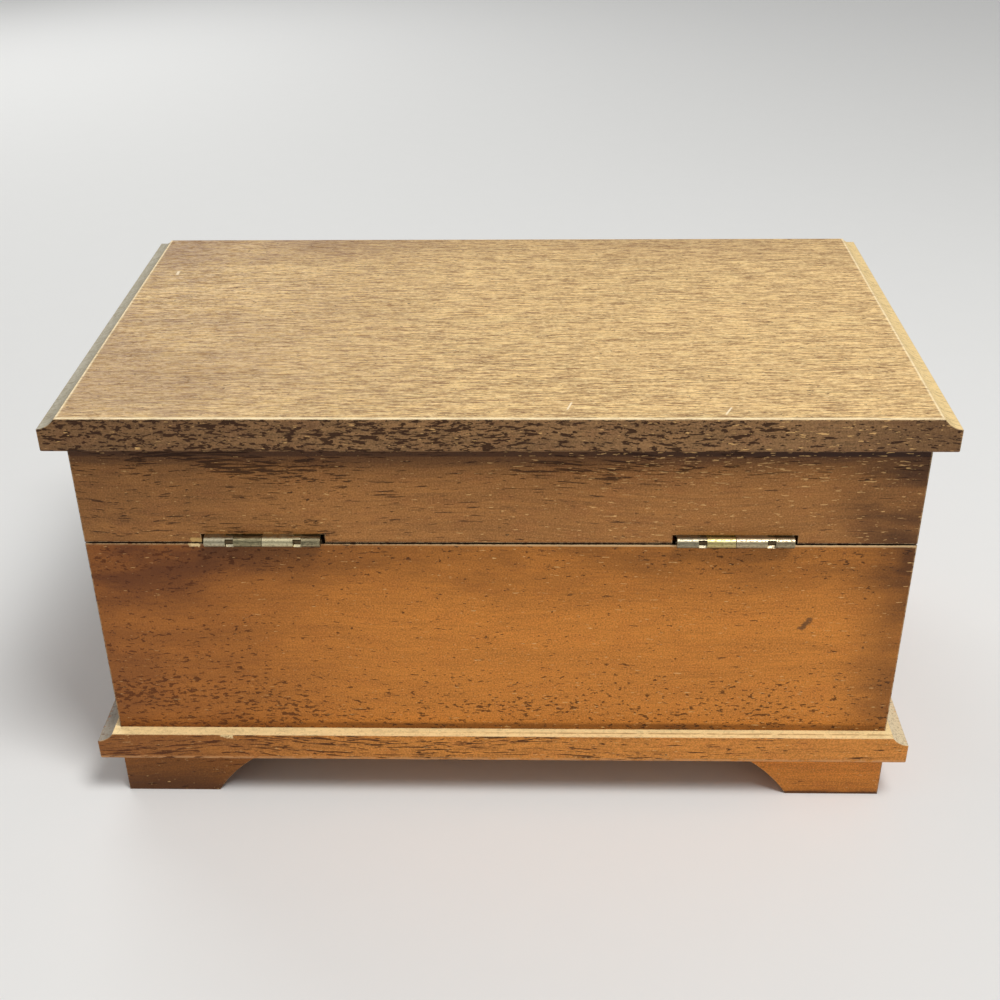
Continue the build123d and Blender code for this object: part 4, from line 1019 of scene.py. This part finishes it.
class JEWELRYBOX_OT_linings(Builder, bpy.types.Operator):
    """Velvet-covered panels round the inside of the case and the lid"""
    bl_idname = "jewelry_box.linings"
    bl_label = "Linings"

    def execute(self, context):
        pile = velvet("velvet_linings", context.scene.box_trim)
        rim = context.scene.box_trim.panel_rim
        for name, node, body in (("box_lining_panels", "box_lining", "case"),
                                 ("lid_lining_panels", "lid_lining", "lid")):
            piece = self.band(name, node, body, pile, rim)
            if node == "box_lining":
                self.notch(piece)
        return {"FINISHED"}

    def band(self, name, node, body, pile, rim):
        """Four panels round the inside of a node's box, the two along Y between the two along X."""
        gap = 0.05 * MM
        thickness = 1.5 * MM
        crown = 0.25 * MM
        wrinkle = 0.12 * MM
        low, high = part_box(node)
        size_x = high.x - low.x - 2 * gap
        size_y = high.y - low.y - 2 * (gap + thickness)
        left = low.x + gap
        right = high.x - gap
        front = low.y + gap
        inner = front + thickness
        panels = (
            (left, front, X, Y, size_x),
            (left, high.y - gap, X, -Y, size_x),
            (left, inner, Y, X, size_y),
            (right, inner, Y, -X, size_y),
        )
        parts = []
        for x, y, along, out, width in panels:
            size = (width, high.z - low.z, thickness - gap)
            parts.append(covered_panel(Vector((x, y, low.z)), along, Z, out, size, rim, crown, wrinkle))
        return new_piece(name, *joined(parts), pile, body, "velvet", node, weld=True)

    def notch(self, piece):
        """Leaves room for the stop lever, which reaches through the lining to the rod in the wall."""
        low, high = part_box("stop_lever")
        lift = 4.6 * MM
        room = 0.7 * MM
        beyond = 3 * MM
        below = 1 * MM
        corners = [(x, y, z) for x in (low.x, high.x + beyond) for y in (low.y - room, high.y + room)
                   for z in (-below, high.z + lift)]
        sides = [(0, 1, 3, 2), (4, 6, 7, 5), (0, 4, 5, 1), (2, 3, 7, 6), (0, 2, 6, 4), (1, 5, 7, 3)]
        tool = placed("notch_cutter", new_mesh("notch_cutter", corners, sides, smooth=False))
        cut = piece.modifiers.new("notch", "BOOLEAN")
        cut.operation = "DIFFERENCE"
        cut.object = tool
        apply_modifiers(piece)
        bpy.data.objects.remove(tool)


class JEWELRYBOX_OT_tray_pad(Builder, bpy.types.Operator):
    """Velvet pad in the bottom of the tray"""
    bl_idname = "jewelry_box.tray_pad"
    bl_label = "Tray pad"

    def execute(self, context):
        pile = velvet("velvet_pad", context.scene.box_trim)
        pad = lying_pad("tray_pad_velvet", "tray_pad", pile, rim=1.8, crown=0.8, wrinkle=0.25, step=2.5)
        return {"FINISHED"}


class JEWELRYBOX_OT_ring_rolls(Builder, bpy.types.Operator):
    """Ring rolls and the block that they lie on"""
    bl_idname = "jewelry_box.ring_rolls"
    bl_label = "Ring rolls"

    def execute(self, context):
        pile = velvet("velvet_rolls", context.scene.box_trim)
        block = lying_pad("ring_block_velvet", "ring_block", pile, rim=1.5, crown=0.2, wrinkle=0.1, step=3.0)
        for index in (1, 2, 3):
            node = f"ring_roll_{index}"
            roll = new_piece(node + "_velvet", *self.roll(*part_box(node), index), pile, "case", "velvet",
                             node, weld=True)
        return {"FINISHED"}

    def roll(self, low, high, seed):
        """A stuffed roll along X, gathered at its ends and flat where it lies."""
        round_end = 2.6 * MM
        lump = 6 * MM
        around = 40
        folds = 10
        radius = (high.y - low.y) / 2
        middle_y = (high.y + low.y) / 2
        middle_z = high.z - radius
        size = high.x - low.x
        places = spread(size, round_end, 60, 6)
        points = []
        for place in places:
            near = min(place, size - place)
            swell = math.sqrt(max(0.0, 1 - (1 - min(near, round_end) / round_end) ** 2))
            for step in range(around):
                turn = 2 * math.pi * step / around
                gather = 0.10 * math.cos(folds * turn + seed) * max(0.0, 1 - near / (2.5 * round_end))
                ripple = noise.noise(Vector((place / lump, 3 * math.cos(turn), 3 * math.sin(turn) + seed)))
                span = radius * (0.30 + 0.70 * swell) * (0.985 + 0.015 * ripple + gather * swell * 0.3)
                span = min(span, radius)
                z = max(low.z, middle_z + span * math.sin(turn))
                points.append((low.x + place, middle_y + span * math.cos(turn), z))
        last = (len(places) - 1) * around
        ends = [tuple(range(around)), tuple(last + step for step in reversed(range(around)))]
        return points, quads(len(places), around, around=True) + ends


class JEWELRYBOX_OT_mirror(Builder, bpy.types.Operator):
    """Ground-edged mirror in the lid and the padded border round it"""
    bl_idname = "jewelry_box.mirror"
    bl_label = "Mirror"

    def execute(self, context):
        settings = context.scene.box_trim
        self.glass(settings)
        self.border(velvet("velvet_border", settings))
        return {"FINISHED"}

    def glass(self, settings):
        finish = Finish("silvered_glass", Metallic=1.0)
        place = finish.place()
        spots = finish.spots(place, (0.05, 0.07, 0.05), 5.0, 0.6)
        specks = finish.spots(place, 0.8, 3.0, 0.6)
        shade = finish.paint(
            settings.mirror_tone,
            (spots.rise(0.55, 0.8) * 0.12, MIRROR_HAZE),
            (specks.rise(0.72, 0.76) * 0.5, MIRROR_SPECK),
        )
        finish.give(Base_Color=shade, Roughness=0.015 + spots.rise(0.5, 0.8) * 0.03)
        low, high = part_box("mirror")
        ground = 0.8 * MM
        rings = ((0.0, high.z), (0.0, low.z + ground), (settings.mirror_bevel, low.z))
        points = []
        for inset, z in rings:
            points += [(low.x + inset, low.y + inset, z), (high.x - inset, low.y + inset, z),
                       (high.x - inset, high.y - inset, z), (low.x + inset, high.y - inset, z)]
        # The back, the silvered face and the edges between them
        faces = [(0, 1, 2, 3), (11, 10, 9, 8)] + quads(len(rings), 4, around=True)
        new_piece("bevelled_mirror", points, faces, finish.material, "lid", "mirror_glass", "mirror",
                  smooth=False)

    def border(self, pile):
        """A padded border swept round the mirror, mitred where the sides meet."""
        lap = 2.0 * MM
        dip = 0.35 * MM
        sink = 0.05 * MM
        across = 18
        low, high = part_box("lid_pad")
        glass_low, glass_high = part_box("mirror")
        middle = (glass_low + glass_high) / 2
        inner_x = glass_high.x - lap - middle.x
        inner_y = glass_high.y - lap - middle.y
        profile = []
        for index in range(across + 1):
            inward = index / across
            profile.append((inward, high.z - (high.z - low.z) * math.sin(math.pi * inward) ** 0.45))
        profile[-1] = (1.0, glass_low.z - sink)
        loop = self.loop()
        points = []
        for inward, level in profile:
            for corner_x, corner_y, wave in loop:
                edge_x = (high.x if corner_x > 0 else low.x) - middle.x
                edge_y = (high.y if corner_y > 0 else low.y) - middle.y
                x_out = edge_x * abs(corner_x)
                y_out = edge_y * abs(corner_y)
                x = middle.x + x_out + (inner_x * corner_x - x_out) * inward
                y = middle.y + y_out + (inner_y * corner_y - y_out) * inward
                z = level + dip * wave * math.sin(math.pi * inward)
                points.append((x, y, max(low.z, min(high.z, z))))
        faces = quads(len(profile), len(loop), around=True)
        # Closed behind, against the lid board and the glass
        last = (len(profile) - 1) * len(loop)
        for step in range(len(loop)):
            after = (step + 1) % len(loop)
            faces.append((step, after, last + after, last + step))
        piece = new_piece("mirror_border", points, faces, pile, "lid", "velvet", "lid_pad")

    def loop(self):
        """Points round a rectangle of half-size one, with a slight wave along each side."""
        per_side = 24
        corners = [(1, -1), (1, 1), (-1, 1), (-1, -1)]
        loop = []
        for index, (x0, y0) in enumerate(corners):
            x1, y1 = corners[(index + 1) % 4]
            for step in range(per_side):
                run = step / per_side
                wave = noise.noise(Vector((index * 7.0 + run * 9.0, 0.3, 0.7)))
                loop.append((x0 + (x1 - x0) * run, y0 + (y1 - y0) * run, wave))
        return loop


class JEWELRYBOX_OT_clear_cover(Builder, bpy.types.Operator):
    """Clear cover over the movement"""
    bl_idname = "jewelry_box.clear_cover"
    bl_label = "Clear cover"

    def execute(self, context):
        clear = context.scene.box_trim.cover_tone
        finish = Finish("clear_cover", Transmission_Weight=1.0, IOR=1.49)
        place = finish.place()
        scratches = finish.spots(place, (0.3, 7.0, 7.0), 3.0, 0.7).rise(0.7, 0.8)
        smears = finish.spots(place, 0.08, 3.0, 0.6).rise(0.5, 0.8)
        rounded = finish.worn(0.4 * MM)[1]
        finish.give(Base_Color=finish.mix(smears * 0.2, clear, scaled(clear, 0.9)),
                    Roughness=0.02 + smears * 0.05 + scratches * 0.1,
                    Normal=finish.bump(scratches, depth=0.01, direction=rounded))
        dress(["movement_cover"], finish.material)
        return {"FINISHED"}


class JEWELRYBOX_OT_movement(Builder, bpy.types.Operator):
    """Bedplate, spring housing, comb, cylinder, wheels and governor of the musical movement"""
    bl_idname = "jewelry_box.movement"
    bl_label = "Movement"

    def execute(self, context):
        settings = context.scene.box_metal
        steel = (settings.steel_tone, OIL_GRIME)
        blued = (settings.blued_tone, OIL_GRIME)
        gilt = (settings.gilt_tone, OIL_GRIME)
        brass = (settings.wheel_tone, settings.brass_dirt_and_shade)
        # Nodes, name, colour and dirt, roughness, tarnish and the axis that it is brushed along
        finishes = (
            (["bedplate"], "gilt_casting", gilt, 0.42, 0.35, None),
            (["spring_housing"], "housing_steel", steel, 0.26, 0.2, None),
            (["governor_frame", "crown_wheel", "great_wheel"], "wheel_brass", brass, 0.3, 0.25, "Y"),
            (["cylinder"], "cylinder_brass", brass, 0.24, 0.2, "X"),
            (["comb"], "comb_steel", steel, 0.24, 0.15, "Y"),
            (["cylinder_post_left", "cylinder_post_right", "lever_bracket", "stop_lever"],
             "pressed_steel", steel, 0.32, 0.25, "Z"),
            (["winding_arbor", "cylinder_arbor", "governor_arbor", "fly_spindle", "stop_rod"],
             "turned_steel", steel, 0.22, 0.15, "X"),
            (["mainspring", "clutch_spring"], "blued_steel", blued, 0.28, 0.2, None),
            (["movement_screws", "small_screws", "base_screws"], "screw_steel", steel, 0.28, 0.3, None),
        )
        for nodes, name, tones, roughness, tarnish, brushed in finishes:
            dress(nodes, metal(name, *tones, settings.arris, roughness, tarnish, brushed))
        dress(["worm_wheel", "fly_blades"],
              metal("moulded_wheel", settings.plastic_tone, YELLOWED, settings.arris,
                    roughness=0.45, tarnish=0.2, metallic=0.0))
        return {"FINISHED"}


class JEWELRYBOX_OT_winding_key(Builder, bpy.types.Operator):
    """Winding key under the box"""
    bl_idname = "jewelry_box.winding_key"
    bl_label = "Winding key"

    def execute(self, context):
        settings = context.scene.box_metal
        dress(["winding_key"],
              metal("key_metal", settings.wheel_tone, settings.brass_dirt_and_shade, settings.arris,
                    roughness=0.3, tarnish=0.35))
        return {"FINISHED"}


OPERATORS = (
    JEWELRYBOX_OT_stage,
    JEWELRYBOX_OT_case_wood,
    JEWELRYBOX_OT_lid_wood,
    JEWELRYBOX_OT_dividers,
    JEWELRYBOX_OT_hinges,
    JEWELRYBOX_OT_linings,
    JEWELRYBOX_OT_tray_pad,
    JEWELRYBOX_OT_ring_rolls,
    JEWELRYBOX_OT_mirror,
    JEWELRYBOX_OT_clear_cover,
    JEWELRYBOX_OT_movement,
    JEWELRYBOX_OT_winding_key,
)
SETTINGS = {"box_wood": WoodSettings, "box_metal": MetalSettings, "box_trim": TrimSettings,
            "box_stage": StageSettings}


class JEWELRYBOX_PT_builder(bpy.types.Panel):
    """Lists the pieces of the jewelry box"""
    bl_idname = "JEWELRYBOX_PT_builder"
    bl_label = "Jewelry box"
    bl_space_type = "VIEW_3D"
    bl_region_type = "UI"
    bl_category = "Jewelry box"

    def draw(self, context):
        for operator in OPERATORS:
            self.layout.operator(operator.bl_idname)
        for name, group in SETTINGS.items():
            box = self.layout.box()
            for prop in group.__annotations__:
                box.prop(getattr(context.scene, name), prop)


CLASSES = (*SETTINGS.values(), *OPERATORS, JEWELRYBOX_PT_builder)


def register():
    for kind in CLASSES:
        bpy.utils.register_class(kind)
    for name, group in SETTINGS.items():
        setattr(bpy.types.Scene, name, PointerProperty(type=group))


def unregister():
    for name in SETTINGS:
        delattr(bpy.types.Scene, name)
    for kind in reversed(CLASSES):
        bpy.utils.unregister_class(kind)


def main():
    register()
    bpy.ops.jewelry_box.stage()
    bpy.ops.jewelry_box.case_wood()
    bpy.ops.jewelry_box.lid_wood()
    bpy.ops.jewelry_box.dividers()
    bpy.ops.jewelry_box.hinges()
    bpy.ops.jewelry_box.linings()
    bpy.ops.jewelry_box.tray_pad()
    bpy.ops.jewelry_box.ring_rolls()
    bpy.ops.jewelry_box.mirror()
    bpy.ops.jewelry_box.clear_cover()
    bpy.ops.jewelry_box.movement()
    bpy.ops.jewelry_box.winding_key()


if __name__ == "__main__":
    main()
